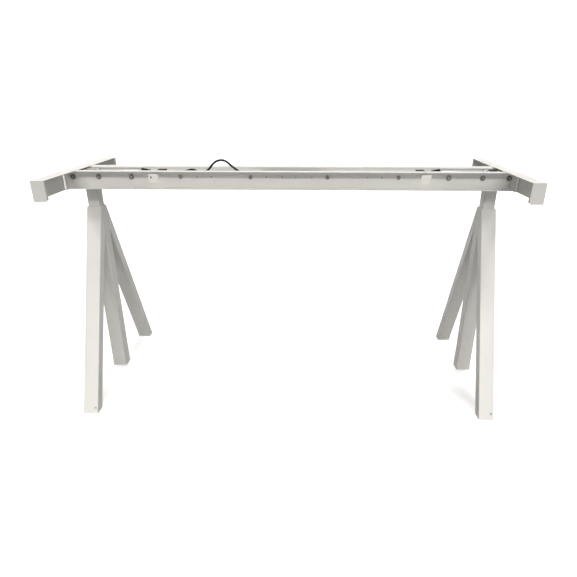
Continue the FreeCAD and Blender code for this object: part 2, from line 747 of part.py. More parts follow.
def rail(way, side, start, end):
    """A channel whose web faces the middle plane and whose flanges point away from it."""
    body = new_body("Rail")
    sheet_thick = size["rail_sheet"]
    web = size["web_face"]
    inner = web + sheet_thick
    edge = size["rail_edge"]
    low = size["beam_bottom"]
    top = size["beam_top"]
    section = sketch_on(body, "YZ_Plane")
    outline(section, [
        (way * web, low), (way * edge, low), (way * edge, low + sheet_thick),
        (way * inner, low + sheet_thick), (way * inner, top - sheet_thick),
        (way * edge, top - sheet_thick), (way * edge, top), (way * web, top),
    ])
    pad(body, section, end - start, backwards=side < 0)
    round_edges(body, size["tube_corner"], lambda line: runs_along(line, ALONG_X) and on_web(line))
    return place(body, side * start)


def on_web(line):
    """Whether a long edge is one of a rail's two outer bend lines."""
    return abs(abs(line.Vertexes[0].Point.y) - plain(size["web_face"])) < 0.01


def drill_web(body, holes):
    """Drills a rail's web at (distance from the rail's start, radius) places."""
    sketch = sketch_on(body, "XZ_Plane")
    for across, radius in holes:
        ring(sketch, across, size["hole_level"], radius)
    pocket(body, sketch, 4 * size["rail_edge"], both_ways=True)


def close_rail_end(body, way, side, length):
    """Adds the plate that closes a side rail's outer end and stands out beyond its flanges."""
    section = sketch_on(body, "YZ_Plane", side * length)
    low = (way * size["web_face"], size["beam_bottom"])
    high = (way * size["end_plate_edge"], size["beam_top"] - size["free_gap"])
    oblong(section, low, high)
    pad(body, section, size["end_plate"], backwards=side < 0)


def side_rail(way, side):
    """An outer rail with its end plate, bolt, lock, pilot and arm screw holes."""
    start = size["side_rail_start"]
    body = rail(way, side, start, size["rail_end"])
    close_rail_end(body, way, side, size["rail_end"] - start)
    bolt_hole = size["bolt_radius"] + size["fit_gap"]
    holes = [(side * (across - start), bolt_hole) for across in RAIL_BOLTS]
    holes.append((side * (size["lock_x"] - start), size["lock_radius"] + size["fit_gap"]))
    for across in SIDE_PILOTS:
        holes.append((side * (across - start), size["pilot_radius"]))
    drill_web(body, holes)
    top = sketch_on(body, "XY_Plane", size["beam_top"])
    across = side * (size["arm_screw_x"] - start)
    ring(top, across, way * size["arm_screw_side"], size["arm_screw_radius"] + size["fit_gap"])
    pocket(body, top, 2 * size["rail_sheet"])
    return body


def centre_rail(way):
    """A middle rail with its splice holes and pilot holes."""
    end = size["centre_rail_end"]
    body = rail(way, 1, -end, end)
    holes = []
    for side in (-1, 1):
        holes.append((end + side * size["splice_x"], size["lock_radius"] + size["fit_gap"]))
        for across in CENTRE_PILOTS:
            holes.append((end + side * across, size["pilot_radius"]))
    drill_web(body, holes)
    return body


def splice_bar(way, side):
    """A flat bar behind the webs, slotted for the lock bolt that slides along it."""
    outer = size["web_face"] - size["free_gap"]
    inner = outer - size["bar_thick"]
    start = size["bar_start"]
    body = new_body("SpliceBar")
    section = sketch_on(body, "XZ_Plane")
    span = size["bar_end"] - start
    oblong(section, (0, size["bar_bottom"]), (side * span, size["bar_top"]))
    slot_half = size["lock_radius"] + size["free_gap"]
    slot_start = size["lock_x"] - start - slot_half - OVERRUN
    slot_end = size["lock_x"] - start + size["width_travel"] + slot_half + OVERRUN
    level = size["hole_level"]
    oblong(section, (side * slot_start, level - slot_half), (side * slot_end, level + slot_half))
    ring(section, side * (size["splice_x"] - start), level, size["lock_radius"] + size["fit_gap"])
    pad(body, section, size["bar_thick"], backwards=True)
    return place(body, side * start, inner if way > 0 else -outer, 0)


def hexagon(corner_radius, start, length):
    """A hexagonal prism from a start point along +Y."""
    prism = doc.addObject("Part::Prism", "Hexagon")
    prism.Polygon = 6
    prism.Circumradius = plain(corner_radius)
    prism.Height = plain(length)
    hold(prism, "Circumradius", corner_radius)
    hold(prism, "Height", length)
    prism.Placement.Rotation = FreeCAD.Rotation(ALONG_Z, ALONG_Y)
    return place(prism, *start)


def through_bolt(across, way, radius, head_radius, head_high, inner_face):
    """A bolt through a web from outside, with its nut against the inner face."""
    outside = size["web_face"] + size["rail_sheet"]
    nut_high = radius * NUT_HEIGHT
    reach = inner_face - nut_high - OVERRUN
    level = size["hole_level"]
    low = reach if way > 0 else -(outside + OVERRUN)
    shank = rod(radius, (across, low, level), outside + OVERRUN - reach, ALONG_Y)
    head_low = outside if way > 0 else -(outside + head_high)
    head = rod(head_radius, (across, head_low, level), head_high, ALONG_Y)
    socket_low = outside + head_high / 2 if way > 0 else -(outside + head_high)
    socket = hexagon(head_radius / 2, (across, socket_low, level), head_high / 2)
    nut_low = inner_face - nut_high if way > 0 else -inner_face
    nut = hexagon(head_radius * NUT_CORNER, (across, nut_low, level), nut_high)
    return cut(fused(shank, head, nut), socket)


def rail_bolts(side):
    """The bolts of the side rails: three M8 through the bracket and one M6 lock bolt each."""
    bolts = []
    bracket_face = size["web_face"] - size["bracket_sheet"]
    bar_face = size["web_face"] - 2 * size["free_gap"] - size["bar_thick"]
    for way in (-1, 1):
        for across in RAIL_BOLTS:
            bolts.append(through_bolt(side * across, way, size["bolt_radius"],
                                      size["bolt_head"], size["bolt_head_high"], bracket_face))
        bolts.append(through_bolt(side * size["lock_x"], way, size["lock_radius"],
                                  size["lock_head"], size["lock_head_high"], bar_face))
    return group(*bolts)


def splice_bolts():
    """The M6 bolts that hold the splice bars in the centre rails."""
    bar_face = size["web_face"] - size["free_gap"] - size["bar_thick"]
    bolts = []
    for way in (-1, 1):
        for side in (-1, 1):
            bolts.append(through_bolt(side * size["splice_x"], way, size["lock_radius"],
                                      size["lock_head"], size["lock_head_high"], bar_face))
    return group(*bolts)


def arm(side):
    """A folded desktop support: a top flange, an outer web and two closed ends."""
    inner = side * size["arm_inner"]
    outer = side * size["arm_outer"]
    web = side * (size["arm_outer"] - size["arm_sheet"])
    top = size["arm_top"]
    under = top - size["arm_sheet"]
    low = size["arm_bottom"]
    body = new_body("Arm")
    section = sketch_on(body, "XZ_Plane")
    outline(section, [
        (inner, top), (outer, top), (outer, low), (web, low), (web, under), (inner, under),
    ])
    pad(body, section, 2 * size["arm_half"], both_ways=True)
    for way in (-1, 1):
        close_arm_end(body, side, way)
    drill_arm(body, side)
    return body


def close_arm_end(body, side, way):
    """Folds an arm's end shut, with a lip that returns along its inner edge."""
    chamfer = size["arm_chamfer"]
    flap_low = size["arm_bottom"]
    inner = size["arm_inner"]
    flap = sketch_on(body, "XZ_Plane", -way * size["arm_half"])
    outline(flap, [
        (side * inner, size["arm_top"]), (side * size["arm_outer"], size["arm_top"]),
        (side * size["arm_outer"], flap_low), (side * (inner + chamfer), flap_low),
        (side * inner, flap_low + chamfer),
    ])
    pad(body, flap, size["arm_sheet"], backwards=way < 0)
    lip = sketch_on(body, "XZ_Plane", -way * size["arm_half"])
    lip_face = inner + size["arm_sheet"]
    oblong(lip, (side * inner, flap_low + chamfer), (side * lip_face, size["arm_top"]))
    pad(body, lip, size["arm_lip"], backwards=way < 0)


def drill_arm(body, side):
    """Drills an arm's top flange for the desktop screws and the rails' screws."""
    top = sketch_on(body, "XY_Plane", size["arm_top"])
    for way in (-1, 1):
        for reach in (size["desk_screw_near"], size["desk_screw_far"]):
            ring(top, side * size["desk_screw_x"], way * reach, size["desk_hole"])
        screw_hole = size["arm_screw_radius"] + size["fit_gap"]
        ring(top, side * size["arm_screw_x"], way * size["arm_screw_side"], screw_hole)
    pocket(body, top, 2 * size["arm_sheet"])


def arm_screws(side):
    """Screws that go up through the rails' flanges into the arm."""
    under = size["beam_top"] - size["rail_sheet"]
    x = side * size["arm_screw_x"]
    high = size["arm_screw_head"]
    length = size["arm_top"] - size["fit_gap"] - under + OVERRUN
    screws = []
    for way in (-1, 1):
        y = way * size["arm_screw_side"]
        head = rod(size["lock_head"], (x, y, under - high), high, ALONG_Z)
        shank = rod(size["arm_screw_radius"], (x, y, under - OVERRUN), length, ALONG_Z)
        screws.append(fused(head, shank))
    return group(*screws)


def rail_clip(side):
    """The white clip on a front rail: a front plate on a stem that stands on the web."""
    middle = size["left_clip_x"] if side < 0 else size["right_clip_x"]
    near = middle - size["clip_half"]
    far = middle + size["clip_half"]
    top = size["clip_top"]
    low = size["clip_bottom"]
    corner = size["clip_corner"]
    flare = size["clip_flare"]
    skin = size["clip_skin"]
    edge = size["rail_edge"]
    web = size["web_face"] + size["rail_sheet"]
    body = new_body("Clip")
    plate = sketch_on(body, "XZ_Plane", edge)
    outline(plate, [
        (side * (near + corner), top), (side * (far + flare), top), (side * (far - flare), low),
        (side * (near + size["clip_lean"]), low), (side * near, top - corner),
    ])
    if side < 0:
        across = side * (far - size["clip_hole_side"])
        ring(plate, across, top - size["clip_hole_drop"], size["clip_hole"])
    pad(body, plate, skin, backwards=True)
    root = edge - OVERRUN
    stem = sketch_on(body, "XZ_Plane", root)
    half = size["clip_stem"]
    oblong(stem, (side * (middle - half), low + corner), (side * (middle + half), top - corner))
    pad(body, stem, root - web, backwards=True)
    return body


def cable_saddle(side):
    """A black strap from the front web to the cable, with two legs that straddle it."""
    middle = size["left_saddle_x"] if side < 0 else size["right_saddle_x"]
    half = size["saddle_half"]
    lower_x = low_x(side, middle - half, middle + half)
    upper_x = lower_x + 2 * half
    top = size["saddle_top"]
    under = top - size["saddle_strap"]
    root = under + OVERRUN
    wall = size["saddle_wall"]
    face = size["web_face"]
    leg_low = size["cable_level"] - size["cable_radius"] - OVERRUN
    near = size["cable_side"] - size["saddle_room"] - wall
    far = size["cable_side"] + size["saddle_room"]
    strap = block((lower_x, -face, under), (upper_x, far + wall, top))
    legs = [block((lower_x, start, leg_low), (upper_x, start + wall, root)) for start in (near, far)]
    foot = block((lower_x, -face, size["bar_top"] + OVERRUN), (upper_x, wall - face, root))
    return fused(strap, foot, *legs)


def make_head(name, side):
    """Everything that one column lifts and that turns with nothing."""
    x = side * size["column_x"]
    tube = hollow_tube(x, size["inner_wide"], size["inner_deep"], size["inner_bottom"], size["plate_level"])
    keep(name + "_inner_tube", tube)
    keep(name + "_tube_glide", tube_glide(x))
    keep(name + "_head_bracket", head_bracket(side))
    keep(name + "_gearbox_housing", gearbox_housing(x, side))
    keep(name + "_screw_bearing", screw_bearing(x))
    keep(name + "_gearbox_cap", gearbox_cap(x))
    keep(name + "_motor_can", motor_can(side))
    keep(name + "_motor_cap", motor_cap(side))
    keep(name + "_front_rail", side_rail(-1, side))
    keep(name + "_rear_rail", side_rail(1, side))
    keep(name + "_arm", arm(side))
    keep(name + "_rail_bolts", rail_bolts(side))
    keep(name + "_arm_screws", arm_screws(side))
    keep(name + "_rail_clip", rail_clip(side))
    keep(name + "_cable_saddle", cable_saddle(side))


# --- the control box and the cables ----------------------------------------------------------

def mains_inlet():
    """The mains inlet's body, the mouth to cut in it, and its three pins."""
    end = size["control_end"]
    low = size["control_bottom"]
    wall = size["inlet_wall"]
    front = size["inlet_front"]
    back = size["inlet_back"]
    start = end - size["inlet_deep"]
    under = low + size["inlet_low"]
    over = low + size["inlet_high"]
    casing = block((start, front, under), (end - OVERRUN, back, over))
    mouth = block((start + wall, front + wall, under + wall), (end + OVERRUN, back - wall, over - wall))
    pins = []
    for y in MAINS_PINS:
        low_corner = (start + wall - OVERRUN, y, low + size["pin_low"])
        high_corner = (end - size["pin_tip"], y + size["pin_thick"], low + size["pin_high"])
        pins.append(block(low_corner, high_corner))
    return casing, mouth, pins


def control_box():
    """The control box's tray, snug between the webs, with plug mouths and a mains inlet."""
    wall = size["control_wall"]
    face = size["web_face"]
    start = size["control_start"]
    end = size["control_end"]
    low = size["control_bottom"]
    rim = size["control_rim"]
    level = size["plug_level"]
    tray = block((start, -face, low), (end, face, rim))
    hollow = block((start + wall, wall - face, low + wall), (end - wall, face - wall, rim + OVERRUN))
    half_wide = size["nose_half_wide"] + size["mouth_gap"]
    half_high = size["nose_half_high"] + size["mouth_gap"]
    mouths = []
    for side in (-1, 1):
        middle = side * size["plug_side"]
        outer_x = start - OVERRUN if side < 0 else end - wall - OVERRUN
        mouths.append(block((outer_x, middle - half_wide, level - half_high),
                            (outer_x + wall + 2 * OVERRUN, middle + half_wide, level + half_high)))
    casing, mouth, pins = mains_inlet()
    shell = fused(cut(tray, hollow, *mouths), casing)
    return fused(cut(shell, mouth), *pins)


def control_lid():
    """The control box's lid."""
    face = size["web_face"]
    rim = size["control_rim"]
    start = size["control_start"]
    end = size["control_end"]
    inset = size["control_wall"] + size["fit_gap"]
    plate = block((start, -face, rim), (end, face, rim + size["lid_thick"]))
    lip = block((start + inset, inset - face, rim - size["lid_lip"]),
                (end - inset, face - inset, rim + OVERRUN))
    return fused(plate, lip)


def cable_plugs():
    """The two motor plugs, each with a nose that stands in the control box's mouth."""
    plugs = []
    level = size["plug_level"]
    wide = size["plug_half_wide"]
    high = size["plug_half_high"]
    nose_wide = size["nose_half_wide"]
    nose_high = size["nose_half_high"]
    nose_long = size["nose_length"]
    for side in (-1, 1):
        middle = side * size["plug_side"]
        wall_face = size["control_start"] if side < 0 else size["control_end"]
        body_low = wall_face - size["plug_length"] if side < 0 else wall_face
        nose_low = wall_face - OVERRUN if side < 0 else wall_face - nose_long
        grip = block((body_low, middle - wide, level - high),
                     (body_low + size["plug_length"], middle + wide, level + high))
        nose = block((nose_low, middle - nose_wide, level - nose_high),
                     (nose_low + nose_long + OVERRUN, middle + nose_wide, level + nose_high))
        plugs.append(fused(grip, nose))
    return group(*plugs)


def cable(points):
    """A cable along straight runs joined by tangent arcs; prints the arcs' radii."""
    radius = plain(size["cable_radius"])
    corners = [FreeCAD.Vector(*point) for point in points]
    edges = []
    radii = []
    last = corners[0]
    for before, corner, after in zip(corners, corners[1:], corners[2:]):
        arriving = (corner - before).normalize()
        leaving = (after - corner).normalize()
        reach = ARC_SHARE * min((corner - before).Length, (after - corner).Length)
        start = corner - arriving * reach
        end = corner + leaving * reach
        half_turn = arriving.getAngle(leaving) / 2
        arc_radius = reach / math.tan(half_turn)
        inward = (leaving - arriving).normalize()
        middle = corner + inward * (arc_radius / math.cos(half_turn) - arc_radius)
        edges.append(Part.LineSegment(last, start).toShape())
        edges.append(Part.Arc(start, middle, end).toShape())
        radii.append(arc_radius)
        last = end
    edges.append(Part.LineSegment(last, corners[-1]).toShape())
    path = Part.Wire(edges)
    circle = Part.Wire([Part.Circle(corners[0], corners[1] - corners[0], radius).toShape()])
    tube = path.makePipeShell([circle], True, False)
    expected = math.pi * radius ** 2 * path.Length
    print("cable radii", [round(value, 1) for value in radii], "length", round(path.Length, 1))
    print("cable volume", round(tube.Volume), "expected", round(expected))
    if abs(tube.Volume - expected) > VOLUME_SLACK * expected:
        raise RuntimeError("a cable's volume is wrong")
    feature = doc.addObject("Part::Feature", "Cable")
    feature.Shape = tube
    return feature


def make_centre():
    """The middle of the beam, with the control box that it carries."""
    keep("centre_front_rail", centre_rail(-1))
    keep("centre_rear_rail", centre_rail(1))
    bars = [splice_bar(way, side) for way in (-1, 1) for side in (-1, 1)]
    keep("splice_bars", group(*bars))
    keep("splice_bolts", splice_bolts())
    keep("control_box", control_box())
    keep("control_box_lid", control_lid())
    keep("cable_plugs", cable_plugs())


def check_document():
    """Stops if any object failed or any sub-part has no valid solid."""
    for thing in doc.Objects:
        if "Invalid" in thing.State or "Error" in thing.State:
            raise RuntimeError("%s failed" % thing.Name)
    for node in NODES:
        if node.Shape.isNull() or not node.Shape.isValid() or not node.Shape.Solids:
            raise RuntimeError("%s has no valid solid" % node.Label)


def write_parts():
    os.makedirs("parts", exist_ok=True)
    for node in NODES:
        node.Shape.exportStep("parts/%s.step" % node.Label)


for side_name, side_sign in (("left", -1), ("right", 1)):
    make_base(side_name, side_sign)
    make_head(side_name, side_sign)
    make_drive(side_name, side_sign)
make_centre()
keep("left_motor_cable", cable(LEFT_CABLE))
keep("right_motor_cable", cable(RIGHT_CABLE))
doc.recompute()
check_document()
write_parts()
print(len(NODES), "sub-parts")
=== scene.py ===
import json
import math

import bmesh
import bpy
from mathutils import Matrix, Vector


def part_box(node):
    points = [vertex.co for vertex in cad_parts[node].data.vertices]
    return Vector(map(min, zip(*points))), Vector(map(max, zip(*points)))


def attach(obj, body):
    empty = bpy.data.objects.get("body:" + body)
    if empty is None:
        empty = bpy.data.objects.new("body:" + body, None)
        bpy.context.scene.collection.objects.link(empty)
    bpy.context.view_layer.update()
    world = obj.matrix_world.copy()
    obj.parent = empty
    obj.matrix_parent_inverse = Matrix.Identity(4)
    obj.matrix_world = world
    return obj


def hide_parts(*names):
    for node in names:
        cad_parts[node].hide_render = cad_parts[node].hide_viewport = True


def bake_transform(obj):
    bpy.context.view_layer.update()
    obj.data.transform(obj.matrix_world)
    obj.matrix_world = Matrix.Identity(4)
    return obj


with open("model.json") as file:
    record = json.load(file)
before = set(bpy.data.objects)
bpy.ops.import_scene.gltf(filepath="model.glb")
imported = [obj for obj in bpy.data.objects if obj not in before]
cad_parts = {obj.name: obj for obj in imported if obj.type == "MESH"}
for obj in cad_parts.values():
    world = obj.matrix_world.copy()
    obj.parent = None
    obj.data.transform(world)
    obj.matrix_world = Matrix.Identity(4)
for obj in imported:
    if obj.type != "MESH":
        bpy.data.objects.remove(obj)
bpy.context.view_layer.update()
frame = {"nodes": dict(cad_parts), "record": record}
NODES = frame["nodes"]
SIDES = {"left": -1, "right": 1}

# How the CAD nodes' edges are softened; every size is in metres.
EDGE_BEVEL = 0.0005
EDGE_ANGLE = math.radians(35)
WELD_DISTANCE = 0.00001

# Sizes that are the same as in the CAD model.
WEB_OUTSIDE = 0.056
HOLE_LEVEL = 0.729
RAIL_BOLTS = (0.515, 0.623, 0.707)
LOCK_BOLT = 0.354
SPLICE_BOLT = 0.125
SIDE_PILOTS = (0.253, 0.300)
CENTRE_PILOTS = (0.022, 0.074)
LEG_REACH = 0.350
LEG_BACK = 0.307
OUTER_TUBE_HALF = 0.025
OUTER_TUBE_TOP = 0.627
LEG_SLOPE = (LEG_REACH - OUTER_TUBE_HALF) / OUTER_TUBE_TOP
CABLE_DIAMETER = 0.007
CABLE_ASIDE = 0.012
BOOT_LENGTH = 0.029
BOOT_TIP_LEVEL = 0.742
CAP_LENGTH = 0.014
END_PLATE = 0.006
END_PLATE_EDGE = 0.104

# The small details: how far their roots are sunk, then bolts, welds and foot screws.
SUNK = 0.0002
# A bolt's washer is its inner radius, outer radius and thickness; head is the head's height.
LARGE_BOLT = {"washer": (0.0068, 0.0084, 0.0012), "socket": 0.0026, "head": 0.005}
MEDIUM_BOLT = {"washer": (0.0053, 0.0064, 0.001), "socket": 0.0021, "head": 0.0035}
WELD_STAND = 0.001
SEAM_RADIUS = 0.0016
SEAM_INSET = 0.0012
SEAM_END_GAP = 0.004
LOWER_WELD_GAP = 0.005
LOWER_WELD_RADIUS = 0.0019
FOOT_SCREW_LEVEL = 0.018
FOOT_SCREW_ASIDE = 0.016

# Gearbox flange, motor, boot and saddle.
FLANGE_CORNER = 0.003
FLANGE_DROP = 0.011
FLANGE_THICK = 0.0035
FLANGE_STAND = 0.0009
FLANGE_EDGE = 0.0006
CAP_SCREW_RING = 0.0125
CAP_SCREW_TURN = 35
RING_INNER_INSET = 0.003
RING_OUTER_INSET = 0.009
BOOT_HALF = 0.0052
BOOT_RIB_SHARES = (0.24, 0.42, 0.6, 0.78)
SADDLE_TEETH = 7
SADDLE_FRONT_GAP = 0.006
SADDLE_REAR_GAP = 0.004

# Control box lid, plugs and sleeves.
LID_RIBS = 9
LID_RIB_START = 0.055
LID_RIB_PITCH = 0.01
LID_RIB_HALF = 0.028
GRIPS = 4
GRIP_START = 0.005
GRIP_PITCH = 0.0036
GRIP_HALF = 0.007
SLEEVE_RINGS = 7
SLEEVE_PITCH = 0.0022
SLEEVE_LENGTH = 0.0168

# Hole plugs, whose grey is painted shade in the holes, the left clip's pin, dark as painted shade in its
# hole, and the end plates' pale strips, which are painted light.
PLUG_DEPTH = 0.0012
CLIP_SHADE_PIN_ASIDE = 0.009
CLIP_SHADE_PIN_DROP = 0.0095
CLIP_SHADE_PIN_DEPTH = 0.0012
LIGHT_STRIP_GAP = 0.001
LIGHT_STRIP_WIDE = 0.0065
LIGHT_STRIP_HIGH = 0.0014

# The materials of nodes whose look isn't their slot's own, by the end of the node's name. The legs'
# lighter coat is painted light, and the head brackets' darker coat and the left gearbox cap's grey are
# painted shade.
OTHER_LOOKS = {
    "lifting_screw": "threaded_steel",
    "bolts": "dark_bolt",
    "_leg": "painted_light_steel",
    "head_bracket": "painted_shade_steel",
    "left_gearbox_cap": "painted_shade_plastic",
}

# Camera: the place in metres, the turns in radians, and the lens and sensor in millimetres.
CAMERA_PLACE = (0.0738, -1.885, 0.9714)
CAMERA_PITCH = -0.4767
CAMERA_YAW = 0.0304
LENS = 33.43
SENSOR = 36
SHIFT = (-0.0104, 0.1412)

# Light: the suns' name, strength in watts per square metre, azimuth, elevation and softness in
# degrees, and the sky's radiance below, level and above.
SUNS = [
    ("key_left", 0.48, -20, 35, 8),
    ("key_middle", 0.40, 3, 35, 8),
    ("key_right", 0.52, 25, 35, 8),
    ("right_fill", 0.46, 62, 18, 25),
    ("left_fill", 0.3, -75, 14, 25),
    ("top", 0.62, 30, 68, 10),
    ("overhead", 1.85, 180, 76, 12),
    ("bounce", 0.50, 0, -30, 60),
]
# A lamp only for the left end plate's pale strips, which are painted light.
LIGHT_STRIP_SUN = ("light_strip_sun", 1.4, 0, 12, 10)
SUN_TINT = (1.0, 0.976, 0.925)
SKY = (0.03, 0.06, 0.08)
SKY_TINT = (1.0, 0.985, 0.94)
SKY_BOTTOM = -0.35
SKY_TOP = 0.6

# The floor: radii of its flat rings, where it starts to curve up, the curve and the wall.
COVE_INNER_RINGS = (0.5, 2.0, 5.0)
COVE_FLAT = 9.0
COVE_BEND = 3.0
COVE_TOP = 12.0
COVE_STEPS_ROUND = 96
COVE_STEPS_UP = 12
FLOOR_GLOW = 0.6


# --- camera ------------------------------------------------------------------------------

def make_camera():
    """The view from in front of the beam, a little to the right of its middle."""
    data = bpy.data.cameras.new("camera")
    data.lens = LENS
    data.sensor_width = SENSOR
    data.shift_x, data.shift_y = SHIFT
    camera = bpy.data.objects.new("camera", data)
    camera.location = CAMERA_PLACE
    camera.rotation_euler = (math.pi / 2 + CAMERA_PITCH, 0, CAMERA_YAW)
    bpy.context.scene.collection.objects.link(camera)
    bpy.context.scene.camera = camera


# --- helpers -------------------------------------------------------------------------------

def new_piece(name, mesh):
    piece = bpy.data.objects.new(name, mesh)
    bpy.context.scene.collection.objects.link(piece)
    return piece


def mesh_from(name, build):
    """A mesh made by a function that fills a bmesh."""
    shape = bmesh.new()
    build(shape)
    bmesh.ops.recalc_face_normals(shape, faces=shape.faces)
    mesh = bpy.data.meshes.new(name)
    shape.to_mesh(mesh)
    shape.free()
    return mesh


def smooth_by_angle(mesh):
    """Smooth shading that keeps sharp edges."""
    for polygon in mesh.polygons:
        polygon.use_smooth = True
    mesh.set_sharp_from_angle(angle=EDGE_ANGLE)


# --- cables --------------------------------------------------------------------------------

# The cables' routes: the CAD model's points, with the left one's fourth to eighth moved a little.
LEFT_CABLE = [
    (-0.469, 0.012, 0.737), (-0.439, 0.0125, 0.7375), (-0.402, 0.0115, 0.736), (-0.360, 0.009, 0.735),
    (-0.325, 0.007, 0.747), (-0.300, 0.004, 0.733), (-0.272, 0.003, 0.741), (-0.250, 0.001, 0.771),
    (-0.216, 0, 0.7775), (-0.187, -0.0015, 0.752), (-0.163, -0.003, 0.737), (-0.138, -0.003, 0.7225),
    (-0.1128, -0.003, 0.719),
]
RIGHT_CABLE = [
    (0.469, 0.012, 0.737), (0.439, 0.0125, 0.7375), (0.402, 0.011, 0.735), (0.362, 0.004, 0.729),
    (0.318, -0.007, 0.722), (0.272, -0.010, 0.716), (0.232, -0.004, 0.713), (0.190, 0.002, 0.715),
    (0.154, 0.004, 0.7185), (0.1223, 0.003, 0.719),
]


def route_curve(name, points, diameter):
    """A curve of one smooth spline controlled by the route's points."""
    curve = bpy.data.curves.new(name, "CURVE")
    curve.dimensions = "3D"
    curve.resolution_u = 10
    spline = curve.splines.new("NURBS")
    spline.points.add(len(points) - 1)
    for point, place in zip(spline.points, points):
        point.co = (*place, 1)
    spline.order_u = 3
    spline.use_endpoint_u = True
    curve.bevel_depth = diameter / 2
    curve.bevel_resolution = 5
    curve.use_fill_caps = True
    return curve


def mesh_of(curve):
    """The mesh that a curve makes."""
    carrier = new_piece(curve.name + "_carrier", curve)
    bpy.context.view_layer.update()
    evaluated = carrier.evaluated_get(bpy.context.evaluated_depsgraph_get())
    mesh = bpy.data.meshes.new_from_object(evaluated)
    bpy.data.objects.remove(carrier)
    return mesh


def make_cable(side, points, material):
    """A motor cable that stretches between its head and the centre of the beam."""
    tube = mesh_of(route_curve("cable_tube", points, CABLE_DIAMETER))
    path = [vertex.co.copy() for vertex in mesh_of(route_curve("cable_line", points, 0)).vertices]
    cable = new_piece(side + "_motor_lead", tube)
    smooth_by_angle(cable.data)
    cable.data.materials.clear()
    cable.data.materials.append(material)
    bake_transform(cable)
    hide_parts(side + "_motor_cable")


# --- materials -----------------------------------------------------------------------------

class Recipe:
    """A material under construction: its nodes and links, with short calls to add them."""

    def __init__(self, name):
        self.material = bpy.data.materials.new(name)
        self.material.use_nodes = True
        self.tree = self.material.node_tree
        self.shader = self.tree.nodes["Principled BSDF"]
        self.place = self.node("ShaderNodeTexCoord").outputs["Object"]

    def node(self, kind, **settings):
        made = self.tree.nodes.new(kind)
        for key, value in settings.items():
            if hasattr(made, key):
                setattr(made, key, value)
            else:
                made.inputs[key.replace("_", " ")].default_value = value
        return made

    def link(self, start, end):
        self.tree.links.new(start, end)

    def noise(self, scale, detail=3.0, rough=0.5, stretch=(1, 1, 1)):
        """Noise over the object's own space, stretched along an axis if asked."""
        mapping = self.node("ShaderNodeMapping")
        mapping.inputs["Scale"].default_value = stretch
        self.link(self.place, mapping.inputs["Vector"])
        made = self.node("ShaderNodeTexNoise", Scale=scale, Detail=detail, Roughness=rough)
        self.link(mapping.outputs["Vector"], made.inputs["Vector"])
        return made.outputs["Fac"]

    def ramp(self, value, low, high, low_at=0.35, high_at=0.65):
        """Turns a noise into a colour between two."""
        made = self.node("ShaderNodeValToRGB")
        made.color_ramp.elements[0].position = low_at
        made.color_ramp.elements[1].position = high_at
        made.color_ramp.elements[0].color = (*low, 1)
        made.color_ramp.elements[1].color = (*high, 1)
        self.link(value, made.inputs["Fac"])
        return made.outputs["Color"]

    def span(self, value, low, high):
        """Maps a noise to a range of numbers."""
        made = self.node("ShaderNodeMapRange")
        made.inputs["From Min"].default_value = 0.3
        made.inputs["From Max"].default_value = 0.7
        made.inputs["To Min"].default_value = low
        made.inputs["To Max"].default_value = high
        self.link(value, made.inputs["Value"])
        return made.outputs["Result"]

    def bump(self, value, strength, distance, under=None):
        made = self.node("ShaderNodeBump", Strength=strength, Distance=distance)
        self.link(value, made.inputs["Height"])
        if under is not None:
            self.link(under, made.inputs["Normal"])
        return made.outputs["Normal"]

    def finish(self, colour=None, rough=None, normal=None, **fixed):
        if colour is not None:
            self.link(colour, self.shader.inputs["Base Color"])
        if rough is not None:
            self.link(rough, self.shader.inputs["Roughness"])
        if normal is not None:
            self.link(normal, self.shader.inputs["Normal"])
        for key, value in fixed.items():
            self.shader.inputs[key.replace("_", " ")].default_value = value
        return self.material


def powder_coat(name, shade):
    """White powder coat of a given shade: fine orange peel and faint warm clouding."""
    recipe = Recipe(name)
    clouds = recipe.noise(6.0, 2.0)
    warm = (1.0, 0.994, 0.975)
    colour = recipe.ramp(clouds, [shade * part * 0.97 for part in warm], [shade * part for part in warm])
    peel = recipe.noise(420.0, 2.0, 0.6)
    waves = recipe.noise(70.0, 2.0, 0.5)
    normal = recipe.bump(waves, 0.12, 0.0006)
    normal = recipe.bump(peel, 0.18, 0.0003, normal)
    rough = recipe.span(recipe.noise(35.0, 3.0), 0.36, 0.5)
    return recipe.finish(colour, rough, normal, Specular_IOR_Level=0.45)


def white_plastic():
    """White moulded nylon with a fine spark-eroded grain."""
    recipe = Recipe("white_nylon")
    colour = recipe.ramp(recipe.noise(20.0, 2.0), (0.93, 0.925, 0.905), (0.97, 0.965, 0.945))
    normal = recipe.bump(recipe.noise(900.0, 3.0, 0.7), 0.25, 0.0002)
    rough = recipe.span(recipe.noise(60.0, 2.0), 0.42, 0.56)
    return recipe.finish(colour, rough, normal, Subsurface_Weight=0.05, Subsurface_Scale=0.002)


def painted_shade_plastic():
    """Grey moulded nylon with a coarse grain. Its grey is painted shade, on the left gearbox cap and the
    hole plugs.
    """
    recipe = Recipe("painted_shade_nylon")
    colour = recipe.ramp(recipe.noise(20.0, 2.0), (0.40, 0.395, 0.38), (0.46, 0.455, 0.44))
    normal = recipe.bump(recipe.noise(700.0, 3.0, 0.7), 0.3, 0.0002)
    rough = recipe.span(recipe.noise(60.0, 2.0), 0.5, 0.64)
    return recipe.finish(colour, rough, normal)


def black_plastic():
    """Black moulded ABS: grained, with paler rubbed patches."""
    recipe = Recipe("black_abs")
    colour = recipe.ramp(recipe.noise(45.0, 4.0), (0.006, 0.006, 0.0065), (0.016, 0.016, 0.0165))
    normal = recipe.bump(recipe.noise(700.0, 3.0, 0.7), 0.35, 0.0003)
    rough = recipe.span(recipe.noise(90.0, 3.0), 0.5, 0.68)
    return recipe.finish(colour, rough, normal, Specular_IOR_Level=0.25)


